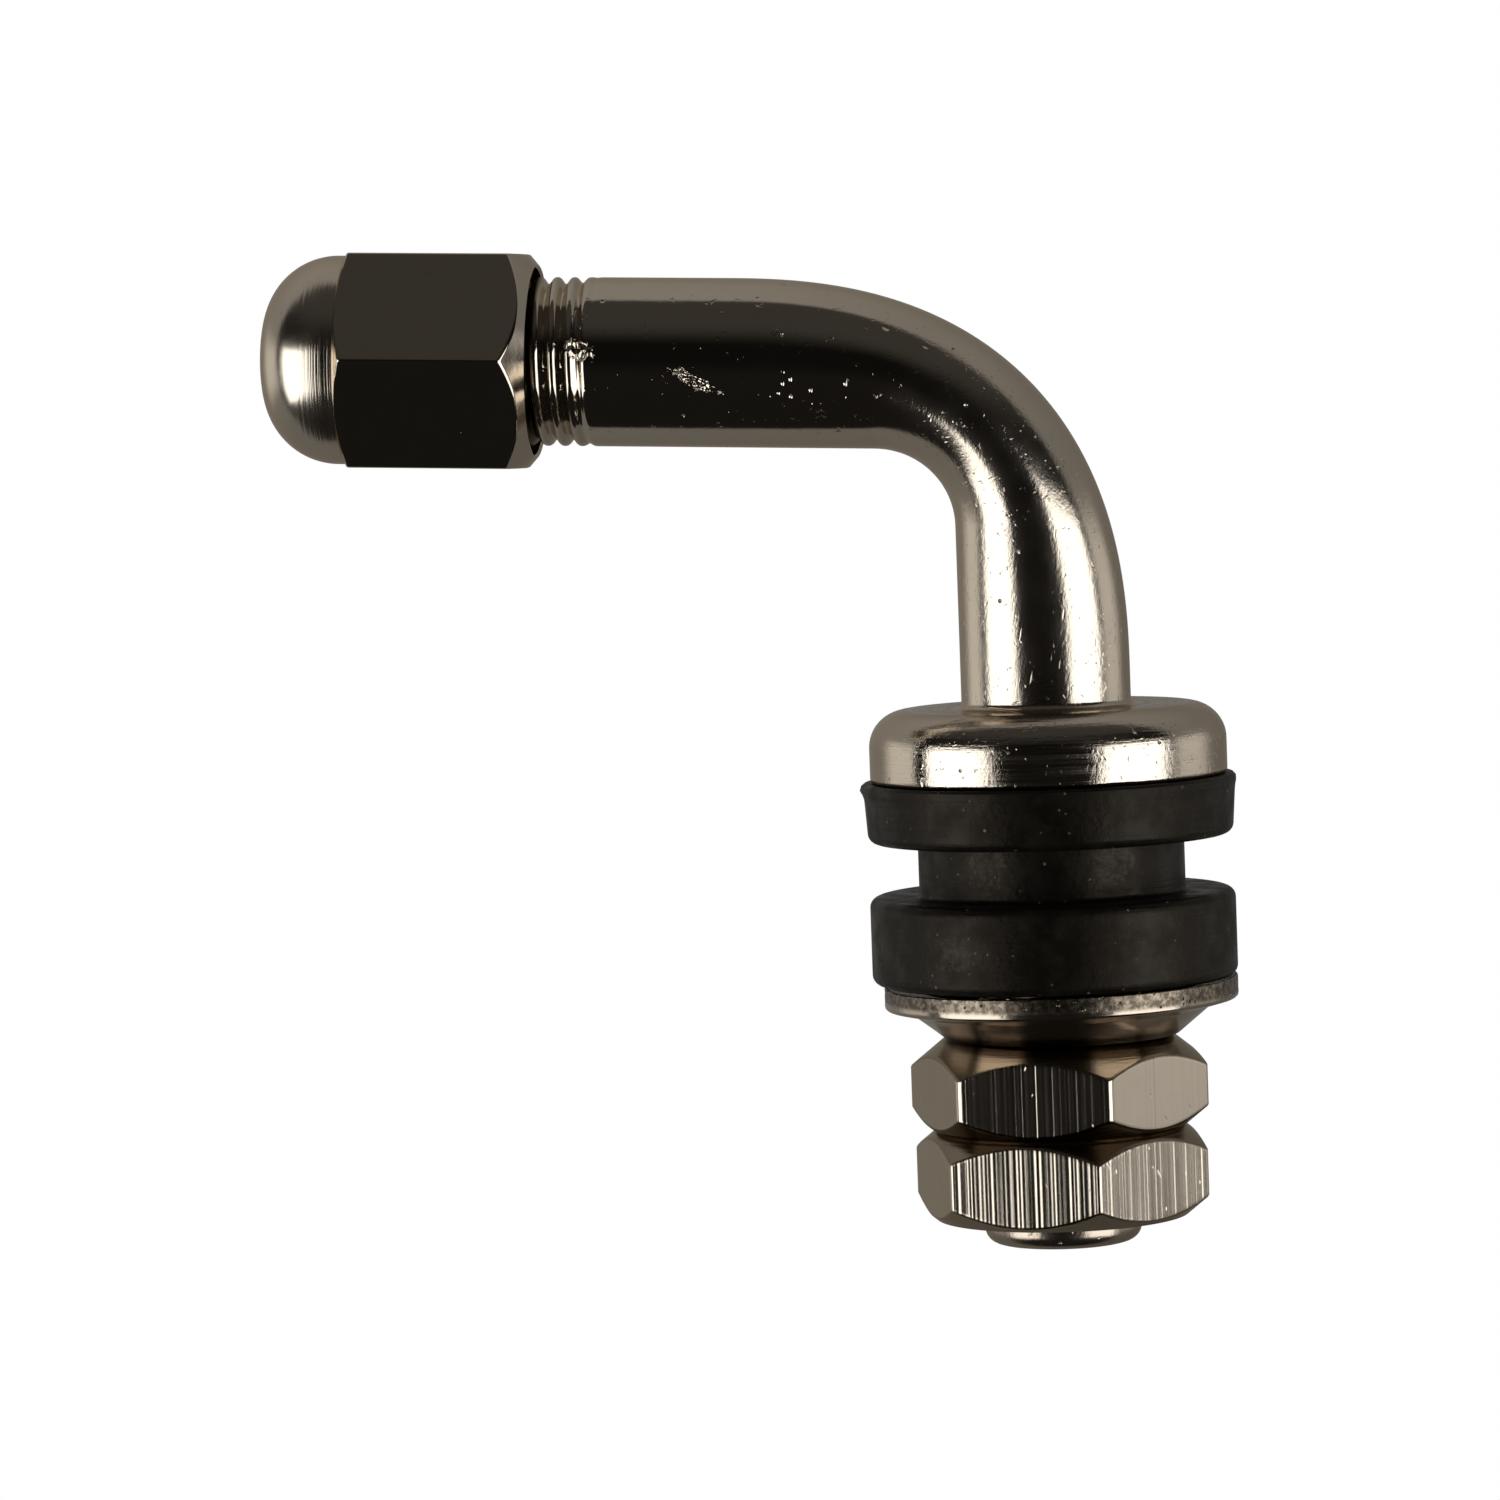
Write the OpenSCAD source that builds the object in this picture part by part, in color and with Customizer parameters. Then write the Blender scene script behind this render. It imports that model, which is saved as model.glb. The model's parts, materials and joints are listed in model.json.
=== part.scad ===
// Bent clamp-in tyre valve: metal stem with a flange, rubber grommet, dished washer, two nuts,
// hexagonal dome cap and a spring valve core inside the arm. Millimetres, +Z up.
// The origin is on the axis of the base, half way up the grommet's groove, where the rim sits.
// The arm leaves the base towards -X.

/* [Stem] */
// Outside diameter of the tube, and of the valve thread cut into its end
tube_d = 7.75; // [7.2:0.05:8.2]
// Height of the arm's axis above the origin, where it crosses the axis of the base
arm_z = 22.85; // [21:0.05:26]
// Angle by which the arm rises above square to the base
arm_rise = 2.5; // [0:0.1:6]
// Length of the arm, from the axis of the base to its open end
arm_len = 32.6; // [31:0.1:38]
// Chamfer at the open end of the arm
arm_chamfer = 0.45; // [0.3:0.05:0.6]
// Length of the outside of the bend along the arm
bend_out_l = 17.8; // [14:0.1:19]
// Height of the outside of the bend along the base
bend_out_h = 17.7; // [14:0.1:18.6]
// Squareness of the outside of the bend: 2 is an ellipse
bend_out_n = 2.45; // [2:0.05:3]
// Length of the inside of the bend along the arm
bend_in_l = 3.6; // [3:0.1:6]
// Height of the inside of the bend along the base
bend_in_h = 3.5; // [3:0.1:6]
// Squareness of the inside of the bend: 2 is an ellipse
bend_in_n = 2.05; // [2:0.05:3]
// Share of the bend's flattening that shows as extra width
bend_spread = 0.3; // [0:0.05:0.6]
// Diameter of the air passage
passage_d = 3.2; // [2.4:0.1:3.4]
// Radius of the air passage's centre line in the bend
passage_bend_r = 9.5; // [8.5:0.1:10.5]

/* [Flange and shank] */
// Diameter of the flange
flange_d = 16.35; // [15:0.05:18]
// Thickness of the flange
flange_h = 3.3; // [2.6:0.1:4]
// Radius of the flange's upper edge
flange_edge_r = 1.7; // [0.8:0.1:2.2]
// Radius in the corner between flange and tube
flange_foot_r = 0.3; // [0.1:0.05:0.6]
// Outside diameter of the shank's thread
shank_d = 8; // [7.8:0.05:8.4]
// Length of the shank that stands out below the lock nut
shank_end_l = 1.2; // [0.6:0.1:3]
// Diameter of the plain tip below the shank's thread
shank_tip_d = 7.2; // [6.4:0.1:7.4]
// Length of the plain tip
shank_tip_l = 1.7; // [1:0.1:2.5]
// Radius of the plain tip's edge
shank_tip_r = 0.7; // [0.2:0.05:0.8]

/* [Grommet] */
// Height of the groove that holds the rim
groove_h = 2.5; // [1.6:0.1:4]
// Diameter of the neck in the groove
neck_d = 12.2; // [11:0.1:13]
// How far the upper rubber flange stands out past the metal flange
grommet_proud = 0.35; // [0.1:0.025:0.6]
// Thickness of the upper rubber flange
grommet_top_h = 2.75; // [2:0.05:4]
// How far the lower rubber flange falls short of the upper one
grommet_step = 0.15; // [0:0.05:0.4]
// Thickness of the lower rubber flange
grommet_low_h = 4; // [3:0.1:5]
// Radius of the rubber edges
grommet_edge_r = 0.45; // [0.2:0.05:0.8]

/* [Dished washer] */
// How far the washer's edge falls short of the lower rubber flange
washer_inset = 0.25; // [0.1:0.05:0.6]
// Thickness of the washer's sheet
washer_t = 1; // [0.6:0.05:1.4]
// How far the washer's rim slopes down from its edge to the dish
washer_rim_drop = 0.3; // [0:0.05:0.5]
// Depth of the dish below the rim
washer_dish_h = 1.25; // [0.8:0.05:2.5]
// Diameter of the dish at the rim
washer_dish_d = 13.8; // [13.4:0.1:14.8]
// Diameter of the dish at its flat bottom
washer_seat_d = 10.8; // [10.6:0.1:11.6]
// Play of the washer's hole around the shank
washer_play = 0.4; // [0.35:0.05:0.6]
// How far the washer sits off the axis
washer_shift = 0.25; // [0:0.05:0.3]

/* [Nuts] */
// Width of the nuts across flats
nut_af = 12.1; // [11.8:0.1:13]
// Height of the clamp nut
clamp_nut_h = 4.15; // [3:0.05:5]
// Height of the lock nut
lock_nut_h = 4.2; // [3:0.1:5]
// Diameter of the nuts' upper faces inside their chamfers
nut_face_d = 10.7; // [10.4:0.1:11.6]
// Diameter of the nuts' lower faces inside their chamfers
nut_seat_d = 11.6; // [10.4:0.1:11.7]
// Angle of the nuts' chamfers to their end faces
nut_chamfer = 39; // [20:1:45]
// Angle at which the clamp nut stands
clamp_nut_turn = -8; // [-30:1:30]
// Angle at which the lock nut stands
lock_nut_turn = -13; // [-30:1:30]

/* [Cap] */
// Width of the cap across flats
cap_af = 9.8; // [9.7:0.05:10.5]
// Length of the cap
cap_len = 12.65; // [12.5:0.05:14]
// Diameter of the cap's round head
cap_head_d = 9.6; // [9.4:0.05:9.7]
// Length of the cap's round head
cap_head_l = 4.2; // [3.6:0.1:4.4]
// Radius of the cap's rounded end
cap_dome_r = 3.4; // [2.4:0.1:3.5]
// Diameter of the cap's mouth inside its chamfer
cap_mouth_d = 9.45; // [9.2:0.05:9.6]
// Angle of the chamfer at the cap's mouth
cap_mouth_chamfer = 40; // [20:1:45]
// Angle of the chamfer between hexagon and round head
cap_head_chamfer = 18; // [10:1:40]
// Thickness of the cap's closed end
cap_roof = 1.7; // [1.5:0.1:2]
// Thickness of the rubber seal in the cap
cap_seal_t = 1.2; // [0.8:0.1:1.6]

/* [Valve core] */
// Diameter of the core's screw plug
plug_d = 5.2; // [5:0.05:5.4]
// Depth of the screw plug below the open end
plug_depth = 1.3; // [1:0.1:1.8]
// Length of the screw plug
plug_l = 5; // [4.6:0.1:5.4]
// Width of the bridge that a valve key turns
bridge_w = 2.6; // [2.4:0.1:3]
// Height of the bridge
bridge_h = 2; // [1.6:0.1:2.4]
// Diameter of the core's barrel
barrel_d = 3.4; // [3.3:0.05:3.5]
// Length of the core's barrel
barrel_l = 8; // [7.6:0.1:8.6]
// Thickness of the barrel's wall
barrel_wall = 0.4; // [0.3:0.05:0.45]
// Diameter of the pin
pin_d = 1; // [0.9:0.05:1.1]
// Depth of the pin's tip below the open end
pin_tip_depth = 0.5; // [0.3:0.1:0.9]
// Diameter of the wire of the spring
spring_wire_d = 0.3; // [0.2:0.02:0.32]
// Turns of the spring
spring_turns = 7; // [5:1:9]
// How far the pin can be pressed
pin_press = 1.2; // [0.8:0.1:1.4]
// Thickness of the rubber ring in the pin's cup
cup_seal_t = 1.2; // [0.8:0.1:1.4]

/* [Hidden] */
$fn = 64;

// Clearances
thread_fit = 0.05;
rubber_fit = 0.05;
pin_fit = 0.1;
core_fit = 0.05;
// Length by which a cut runs past the face that it opens
cut_over = 1;
// Chamfers that lead into a threaded hole, and into the ends of the air passage
thread_lead = 0.4;
mouth_lead = 0.5;

// Radii of the stack that is clamped round the rim
flange_r = flange_d / 2;
flange_low_edge = 0.25;
grommet_top_r = flange_r + grommet_proud;
grommet_draft = 0.15;
grommet_low_r = grommet_top_r - grommet_step;
washer_r = grommet_low_r - washer_inset;

// Levels along the axis of the base
tube_r = tube_d / 2;
shank_r = shank_d / 2;
groove_top = groove_h / 2;
groove_low = -groove_h / 2;
flange_low = groove_top + grommet_top_h;
flange_top = flange_low + flange_h;
washer_top = groove_low - grommet_low_h;
clamp_nut_top = washer_top - washer_rim_drop - washer_t - washer_dish_h;
lock_nut_top = clamp_nut_top - clamp_nut_h;
shank_low = lock_nut_top - lock_nut_h - shank_end_l;

// Places along the arm, from the axis of the base
cap_roof_at = arm_len + cap_seal_t;
cap_end = cap_roof_at + cap_roof;
cap_mouth = cap_end - cap_len;
cap_pocket_step = 0.25;
cap_pocket_r = tube_r - cap_pocket_step;

// Diameters in the valve core
barrel_bore_d = barrel_d - 2 * barrel_wall;
plug_neck_d = barrel_bore_d - 2 * core_fit;
pin_hole_d = pin_d + 4 * pin_fit;
collar_d = barrel_bore_d - 4 * pin_fit;
spring_mean_d = (pin_d + barrel_bore_d) / 2;
cup_proud = 0.05;
cup_d = barrel_d + 2 * cup_proud;
chamber_play = 0.25;
chamber_d = barrel_d + 2 * chamber_play;
plug_bore_d = plug_d + 2 * thread_fit;

// Depths in the valve core, from the open end of the arm
plug_low = plug_depth + plug_l;
plug_neck_l = 1.2;
barrel_low = plug_low + barrel_l;
lip_l = 0.8;
chamber_taper_at = plug_low + lip_l;
chamber_taper_l = 2.2;
gasket_l = 1.54;
collar_at = plug_low + plug_neck_l + 2 * core_fit;
collar_l = 0.5;
floor_t = 0.8;
spring_foot = barrel_low - floor_t;
cup_wall = 0.35;
cup_gap = 0.3;
cup_low = barrel_low + cup_seal_t + cup_wall;
rivet_l = 0.5;
pin_low = cup_low + rivet_l;
chamber_low = pin_low + pin_press + rivet_l;

// The plane of the bend: x along the base's radius, y along its axis
corner = [0, arm_z];
arm_in = [cos(arm_rise), -sin(arm_rise)];
arm_up = [sin(arm_rise), cos(arm_rise)];
base_up = [0, 1];
bend_turn = 90 - arm_rise;
passage_tangent = passage_bend_r * tan(bend_turn / 2);

// Where the arm's line and the base's line cross, both side away from their axes
function bend_corner(side) =
    let (at = corner + side * arm_up, run = (side - at.x) / arm_in.x)
    at + run * arm_in;

out_corner = bend_corner(tube_r);
in_corner = bend_corner(-tube_r);
out_centre = out_corner - bend_out_l * arm_in - bend_out_h * base_up;
in_centre = in_corner - bend_in_l * arm_in - bend_in_h * base_up;

// Level of a rounded corner's curve at point p: 0 on it, more outside it
function corner_level(p, centre, l, h, n) =
    let (
        along = (p.x - centre.x) / arm_in.x,
        up = p.y - centre.y - along * arm_in.y
    )
    pow(max(0, along) / l, n) + pow(max(0, up) / h, n) - 1;

function out_level(p) = corner_level(p, out_centre, bend_out_l, bend_out_h, bend_out_n);
function in_level(p) = corner_level(p, in_centre, bend_in_l, bend_in_h, bend_in_n);

// Distance from p along d to the outside or the inside of the bend, by halving
function hit(p, d, outside, low = 0, high = 4 * tube_d, steps = 32) =
    let (
        middle = (low + high) / 2,
        at = p + middle * d,
        beyond = (outside ? out_level(at) : in_level(at)) > 0
    )
    steps == 0 ? middle
    : beyond ? hit(p, d, outside, low, middle, steps - 1)
    : hit(p, d, outside, middle, high, steps - 1);

// One section of the bend: its middle, its half width in the plane and that direction
function section(p, d) =
    let (near = hit(p, d, false), far = hit(p, d, true))
    [p + (near + far) / 2 * d, (far - near) / 2, d];

// Sections square to the arm, then round the inside of the bend, then square to the base
arm_steps = 7;
turn_steps = 16;
base_steps = 7;
arm_run = (in_centre - out_corner) * arm_in + bend_out_l;
base_run = in_centre.y - out_corner.y + bend_out_h;
arm_sections = [
    for (i = [0 : arm_steps - 1])
        section(in_centre - arm_run * (1 - i / arm_steps) * arm_in, arm_up)
];
turn_sections = [
    for (i = [0 : turn_steps])
        let (a = bend_turn * (1 - i / turn_steps))
        section(in_centre, [cos(a), sin(a)])
];
base_sections = [
    for (i = [1 : base_steps])
        section(in_centre - base_run * i / base_steps * base_up, [1, 0])
];
bend_sections = concat(arm_sections, turn_sections, base_sections);

// One ring of points round a section of the bend, inset from its outline
ring_sides = 48;
function ring(s, inset) =
    let (
        width = tube_r + bend_spread * (tube_r - s[1]) - inset,
        height = s[1] - inset
    )
    [
        for (i = [0 : ring_sides - 1])
            let (
                a = 360 * i / ring_sides,
                at = s[0] + height * cos(a) * s[2]
            )
            [at.x, width * sin(a), at.y]
    ];

// The bend's rings: the first and the last lie just inside the round tube that they meet
bend_last = len(bend_sections) - 1;
bend_seam = 0.02;
bend_rings = [
    for (i = [0 : bend_last])
        ring(bend_sections[i], i == 0 || i == bend_last ? bend_seam : 0)
];

// Points of an arc, for turned profiles
function arc(x, y, r, from, to, steps = 8) =
    [for (i = [0 : steps]) let (a = from + (to - from) * i / steps) [x + r * cos(a), y + r * sin(a)]];

// Skin over rings that all have the same number of points, closed at both ends
module skin(rings) {
    sides = len(rings[0]);
    last = len(rings) - 1;
    points = [for (r = rings) each r];
    walls = [
        for (i = [0 : last - 1], j = [0 : sides - 1])
            let (k = (j + 1) % sides)
            each [
                [i * sides + j, i * sides + k, (i + 1) * sides + k],
                [i * sides + j, (i + 1) * sides + k, (i + 1) * sides + j]
            ]
    ];
    ends = [
        [for (j = [0 : sides - 1]) sides - 1 - j],
        [for (j = [0 : sides - 1]) last * sides + j]
    ];
    polyhedron(points = points, faces = concat(walls, ends));
}

// Frame of the arm: +Z runs out along it, +X is up
module along_arm() {
    translate([0, 0, arm_z]) rotate([0, -bend_turn, 0]) children();
}

// Frame of the valve core: +Z is the depth below the arm's open end
module in_core() {
    along_arm() translate([0, 0, arm_len]) rotate([180, 0, 0]) children();
}

// Turned shape from outline points given as radius and height
module turned(points) {
    rotate_extrude() polygon(points);
}

// Hexagonal prism by its width across flats
module hexagon(af, low, high) {
    translate([0, 0, low]) cylinder(d = af / cos(30), h = high - low, $fn = 6);
}

// Nut from z = 0 down to -h, chamfered on both faces, with a threaded hole
module nut(h) {
    corner_r = nut_af / cos(30) / 2;
    face_r = nut_face_d / 2;
    seat_r = nut_seat_d / 2;
    top_chamfer = (corner_r - face_r) * tan(nut_chamfer);
    low_chamfer = (corner_r - seat_r) * tan(nut_chamfer);
    hole_r = shank_r + thread_fit;
    lead = thread_lead;
    difference() {
        intersection() {
            hexagon(nut_af, -h, 0);
            turned([
                [0, 0], [face_r, 0], [corner_r, -top_chamfer],
                [corner_r, low_chamfer - h], [seat_r, -h], [0, -h]
            ]);
        }
        turned([
            [0, cut_over], [hole_r + lead, cut_over], [hole_r + lead, 0], [hole_r, -lead],
            [hole_r, lead - h], [hole_r + lead, -h], [hole_r + lead, -h - cut_over], [0, -h - cut_over]
        ]);
    }
}

module stem_base() {
    r = flange_r;
    tip_r = shank_tip_d / 2;
    tip_top = shank_low + shank_tip_l;
    edge = flange_edge_r;
    bend_low = bend_sections[bend_last][0].y;
    turned(concat(
        [[0, shank_low]],
        arc(tip_r - shank_tip_r, shank_low + shank_tip_r, shank_tip_r, -90, 0),
        [[tip_r, tip_top], [shank_r, tip_top + shank_r - tip_r], [shank_r, flange_low]],
        [[r - flange_low_edge, flange_low], [r, flange_low + flange_low_edge]],
        arc(r - edge, flange_top - edge, edge, 0, 90),
        arc(tube_r + flange_foot_r, flange_top + flange_foot_r, flange_foot_r, 270, 180, 4),
        [[tube_r, bend_low], [0, bend_low]]
    ));
}

module stem_arm() {
    start = (corner - bend_sections[0][0]) * arm_in;
    along_arm() turned([
        [0, start], [tube_r, start], [tube_r, arm_len - arm_chamfer],
        [tube_r - arm_chamfer, arm_len], [0, arm_len]
    ]);
}

module stem_passage() {
    r = passage_d / 2;
    elbow_z = arm_z - passage_tangent;
    chamber_r = chamber_d / 2;
    plug_r = plug_bore_d / 2;
    in_core() turned([
        [0, -cut_over], [plug_r + mouth_lead, -cut_over], [plug_r + mouth_lead, 0], [plug_r, mouth_lead],
        [plug_r, chamber_taper_at], [chamber_r, chamber_taper_at + chamber_taper_l],
        [chamber_r, chamber_low], [r, chamber_low + chamber_r - r],
        [r, arm_len - passage_tangent], [0, arm_len - passage_tangent]
    ]);
    translate([-passage_bend_r, 0, elbow_z]) rotate([90, 0, 0])
        rotate_extrude(angle = bend_turn) translate([passage_bend_r, 0]) circle(d = passage_d);
    turned([
        [0, shank_low - cut_over], [r + mouth_lead, shank_low - cut_over], [r + mouth_lead, shank_low],
        [r, shank_low + mouth_lead], [r, elbow_z], [0, elbow_z]
    ]);
}

module stem() {
    color("#a9a49a") difference() {
        union() {
            stem_base();
            skin(bend_rings);
            stem_arm();
        }
        stem_passage();
    }
}

module grommet() {
    top_r = grommet_top_r;
    low_r = grommet_low_r;
    neck_r = neck_d / 2;
    hole_r = shank_r + rubber_fit;
    e = grommet_edge_r;
    color("#1d1d1d") turned(concat(
        [[hole_r, flange_low], [top_r, flange_low]],
        arc(top_r - grommet_draft - e, groove_top + e, e, 0, -90, 5),
        [[neck_r, groove_top], [neck_r, groove_low]],
        arc(low_r - e, groove_low - e, e, 90, 0, 5),
        arc(low_r - e, washer_top + e, e, 0, -90, 5),
        [[hole_r, washer_top]]
    ));
}

module cup_washer() {
    r = washer_r;
    dish_r = washer_dish_d / 2;
    seat_r = washer_seat_d / 2;
    hole_r = shank_r + washer_play;
    rim_low = washer_top - washer_t;
    dish_top = washer_top - washer_rim_drop;
    slope = atan2(washer_dish_h, dish_r - seat_r);
    inset = washer_t * tan(slope / 2);
    color("#8d867a") translate([washer_shift, 0, 0]) turned([
        [hole_r, clamp_nut_top], [seat_r, clamp_nut_top], [dish_r, dish_top - washer_t], [r, rim_low],
        [r, washer_top], [dish_r - inset, dish_top], [seat_r - inset, clamp_nut_top + washer_t],
        [hole_r, clamp_nut_top + washer_t]
    ]);
}

module clamp_nut() {
    color("#9c968b") translate([0, 0, clamp_nut_top]) rotate([0, 0, clamp_nut_turn]) nut(clamp_nut_h);
}

module lock_nut() {
    color("#a59f94") translate([0, 0, lock_nut_top]) rotate([0, 0, lock_nut_turn]) nut(lock_nut_h);
}

module cap_outside() {
    corner_r = cap_af / cos(30) / 2;
    head_r = cap_head_d / 2;
    mouth_r = cap_mouth_d / 2;
    hex_end = cap_end - cap_head_l;
    mouth_chamfer_at = cap_mouth + (corner_r - mouth_r) * tan(cap_mouth_chamfer);
    head_chamfer_at = hex_end - (corner_r - head_r) * tan(cap_head_chamfer);
    dome = arc(head_r - cap_dome_r, cap_end - cap_dome_r, cap_dome_r, 0, 90, 12);
    intersection() {
        union() {
            rotate([0, 0, 30]) hexagon(cap_af, cap_mouth, hex_end);
            turned(concat([[0, cap_mouth], [mouth_r, cap_mouth], [head_r, hex_end]], dome, [[0, cap_end]]));
        }
        turned(concat(
            [[0, cap_mouth], [mouth_r, cap_mouth], [corner_r, mouth_chamfer_at]],
            [[corner_r, head_chamfer_at], [head_r, hex_end]],
            dome,
            [[0, cap_end]]
        ));
    }
}

module cap() {
    lead = thread_lead;
    thread_r = tube_r + thread_fit;
    color("#7d766b") along_arm() difference() {
        cap_outside();
        turned([
            [0, cap_mouth - cut_over], [thread_r + lead, cap_mouth - cut_over],
            [thread_r + lead, cap_mouth], [thread_r, cap_mouth + lead],
            [thread_r, arm_len - lead], [cap_pocket_r, arm_len], [cap_pocket_r, cap_roof_at], [0, cap_roof_at]
        ]);
    }
}

module cap_seal() {
    color("#2b2b2b") along_arm() translate([0, 0, arm_len])
        cylinder(r = cap_pocket_r - rubber_fit, h = cap_seal_t);
}

// Screw plug: threaded body, a bridge on top that a valve key turns, and a neck that enters the barrel
module core_plug() {
    plug_r = plug_d / 2;
    neck_r = plug_neck_d / 2;
    color("#b08d4f") in_core() difference() {
        turned([
            [0, plug_depth], [plug_r, plug_depth], [plug_r, plug_low],
            [neck_r, plug_low], [neck_r, plug_low + plug_neck_l], [0, plug_low + plug_neck_l]
        ]);
        for (side = [-1, 1])
            translate([side * (bridge_w + plug_d) / 2, 0, plug_depth + bridge_h / 2 - cut_over / 2])
                cube([plug_d, 2 * plug_d, bridge_h + cut_over], center = true);
        translate([0, 0, plug_depth - cut_over])
            cylinder(d = pin_hole_d, h = plug_l + plug_neck_l + 2 * cut_over);
    }
}

// Barrel: a tube with a lip that holds the gasket, and a floor that carries the spring
module core_barrel() {
    r = barrel_d / 2;
    bore_r = barrel_bore_d / 2;
    lip_r = plug_bore_d / 2 - 2 * core_fit;
    hole_r = pin_hole_d / 2;
    color("#c3a565") in_core() turned([
        [bore_r, plug_low], [lip_r, plug_low], [lip_r, plug_low + lip_l], [r, plug_low + lip_l],
        [r, barrel_low], [hole_r, barrel_low], [hole_r, spring_foot], [bore_r, spring_foot]
    ]);
}

// Radius of the chamber's tapered seat at a depth
function seat_r(depth) =
    let (share = (depth - chamber_taper_at) / chamber_taper_l)
    (plug_bore_d + (chamber_d - plug_bore_d) * share) / 2;

module barrel_gasket() {
    hole_r = barrel_d / 2 + rubber_fit;
    low = chamber_taper_at + gasket_l;
    color("#b5483a") in_core() turned([
        [hole_r, chamber_taper_at], [seat_r(chamber_taper_at) - rubber_fit, chamber_taper_at],
        [seat_r(low) - rubber_fit, low], [hole_r, low]
    ]);
}

// Pin with a rounded tip, the collar that the spring pushes, and a rivet head below the cup
module core_pin() {
    r = pin_d / 2;
    collar_r = collar_d / 2;
    color("#c9b27c") in_core() turned(concat(
        arc(0, pin_tip_depth + r, r, -90, 0, 6),
        [[r, collar_at], [collar_r, collar_at], [collar_r, collar_at + collar_l], [r, collar_at + collar_l]],
        [[r, cup_low], [r + rivet_l / 2, cup_low], [r, pin_low], [0, pin_low]]
    ));
}

module pin_cup() {
    r = cup_d / 2;
    hole_r = pin_d / 2 + core_fit;
    color("#bfa05a") in_core() turned([
        [r - cup_wall, barrel_low + cup_gap], [r, barrel_low + cup_gap], [r, cup_low], [hole_r, cup_low],
        [hole_r, cup_low - cup_wall], [r - cup_wall, cup_low - cup_wall]
    ]);
}

module cup_seal() {
    r = cup_d / 2 - cup_wall - core_fit;
    hole_r = pin_d / 2 + core_fit;
    color("#262626") in_core() turned([
        [hole_r, barrel_low], [r, barrel_low], [r, barrel_low + cup_seal_t], [hole_r, barrel_low + cup_seal_t]
    ]);
}

// Open coil between the pin's collar and the barrel's floor
module core_spring() {
    turn_steps = 16;
    wire_sides = 8;
    wire_r = spring_wire_d / 2;
    mean_r = spring_mean_d / 2;
    top = collar_at + collar_l + wire_r + core_fit;
    low = spring_foot - wire_r - core_fit;
    steps = spring_turns * turn_steps;
    rings = [
        for (i = [0 : steps])
            let (turn = 360 * i / turn_steps, z = top + (low - top) * i / steps)
            [
                for (j = [0 : wire_sides - 1])
                    let (a = 360 * j / wire_sides, r = mean_r + wire_r * cos(a))
                    [r * cos(turn), r * sin(turn), z - wire_r * sin(a)]
            ]
    ];
    color("#b9bcc0") in_core() skin(rings);
}

stem();
grommet();
cup_washer();
clamp_nut();
lock_nut();
cap();
cap_seal();
core_plug();
core_barrel();
barrel_gasket();
core_pin();
pin_cup();
cup_seal();
core_spring();
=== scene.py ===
"""Looks of a bent clamp-in tyre valve: plated stem with its threads, hexagonal dome cap, rubber grommet,
dished washer and two nuts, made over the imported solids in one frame. Sizes are millimetres until a
mesh is made."""

import json
import math
from collections import namedtuple
from functools import partial, reduce

import bmesh
import bpy
import numpy as np
from mathutils import Matrix, Vector


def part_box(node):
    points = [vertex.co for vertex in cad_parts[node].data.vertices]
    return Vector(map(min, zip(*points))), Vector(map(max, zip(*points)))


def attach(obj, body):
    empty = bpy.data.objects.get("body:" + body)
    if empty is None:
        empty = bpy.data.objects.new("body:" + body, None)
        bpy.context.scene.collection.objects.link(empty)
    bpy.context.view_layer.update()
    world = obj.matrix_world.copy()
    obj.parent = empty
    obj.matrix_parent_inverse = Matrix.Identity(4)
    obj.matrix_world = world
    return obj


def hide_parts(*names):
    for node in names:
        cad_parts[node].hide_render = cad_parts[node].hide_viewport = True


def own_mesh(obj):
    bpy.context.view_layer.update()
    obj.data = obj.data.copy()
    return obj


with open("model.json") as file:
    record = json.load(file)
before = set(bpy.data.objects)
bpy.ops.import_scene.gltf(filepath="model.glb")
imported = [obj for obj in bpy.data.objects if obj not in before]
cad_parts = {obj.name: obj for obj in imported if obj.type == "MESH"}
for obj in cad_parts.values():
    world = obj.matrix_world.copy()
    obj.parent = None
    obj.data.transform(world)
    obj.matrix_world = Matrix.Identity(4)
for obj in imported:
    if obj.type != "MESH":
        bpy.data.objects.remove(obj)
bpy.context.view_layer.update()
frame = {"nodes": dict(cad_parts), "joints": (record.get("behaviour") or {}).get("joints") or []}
NODES = frame["nodes"]
JOINTS = {joint["name"]: joint for joint in frame["joints"]}
MM = 0.001


def box_mm(node):
    """Lowest and highest corner of a CAD node, in millimetres."""
    low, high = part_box(node)
    return np.array(low) / MM, np.array(high) / MM


def levels(node):
    """Lowest and highest level of a CAD node, in millimetres."""
    low, high = box_mm(node)
    return low[2], high[2]


# Places that the frame gives
ARM_OUT = np.array(JOINTS["cap_turn"]["axis"])
ARM_UP = np.array([ARM_OUT[2], 0, -ARM_OUT[0]])
ARM_Z = JOINTS["cap_turn"]["pos_m"][2] / MM
FLANGE_R = box_mm("stem")[1][1]
SHANK_LOW, _ = levels("stem")
WASHER_TOP, FLANGE_LOW = levels("grommet")
GROMMET_TOP_R = box_mm("grommet")[1][1]
WASHER_R = box_mm("cup_washer")[1][1]
WASHER_X = (box_mm("cup_washer")[0][0] + box_mm("cup_washer")[1][0]) / 2
CLAMP_NUT_LOW, CLAMP_NUT_TOP = levels("clamp_nut")
LOCK_NUT_LOW, LOCK_NUT_TOP = levels("lock_nut")

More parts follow.
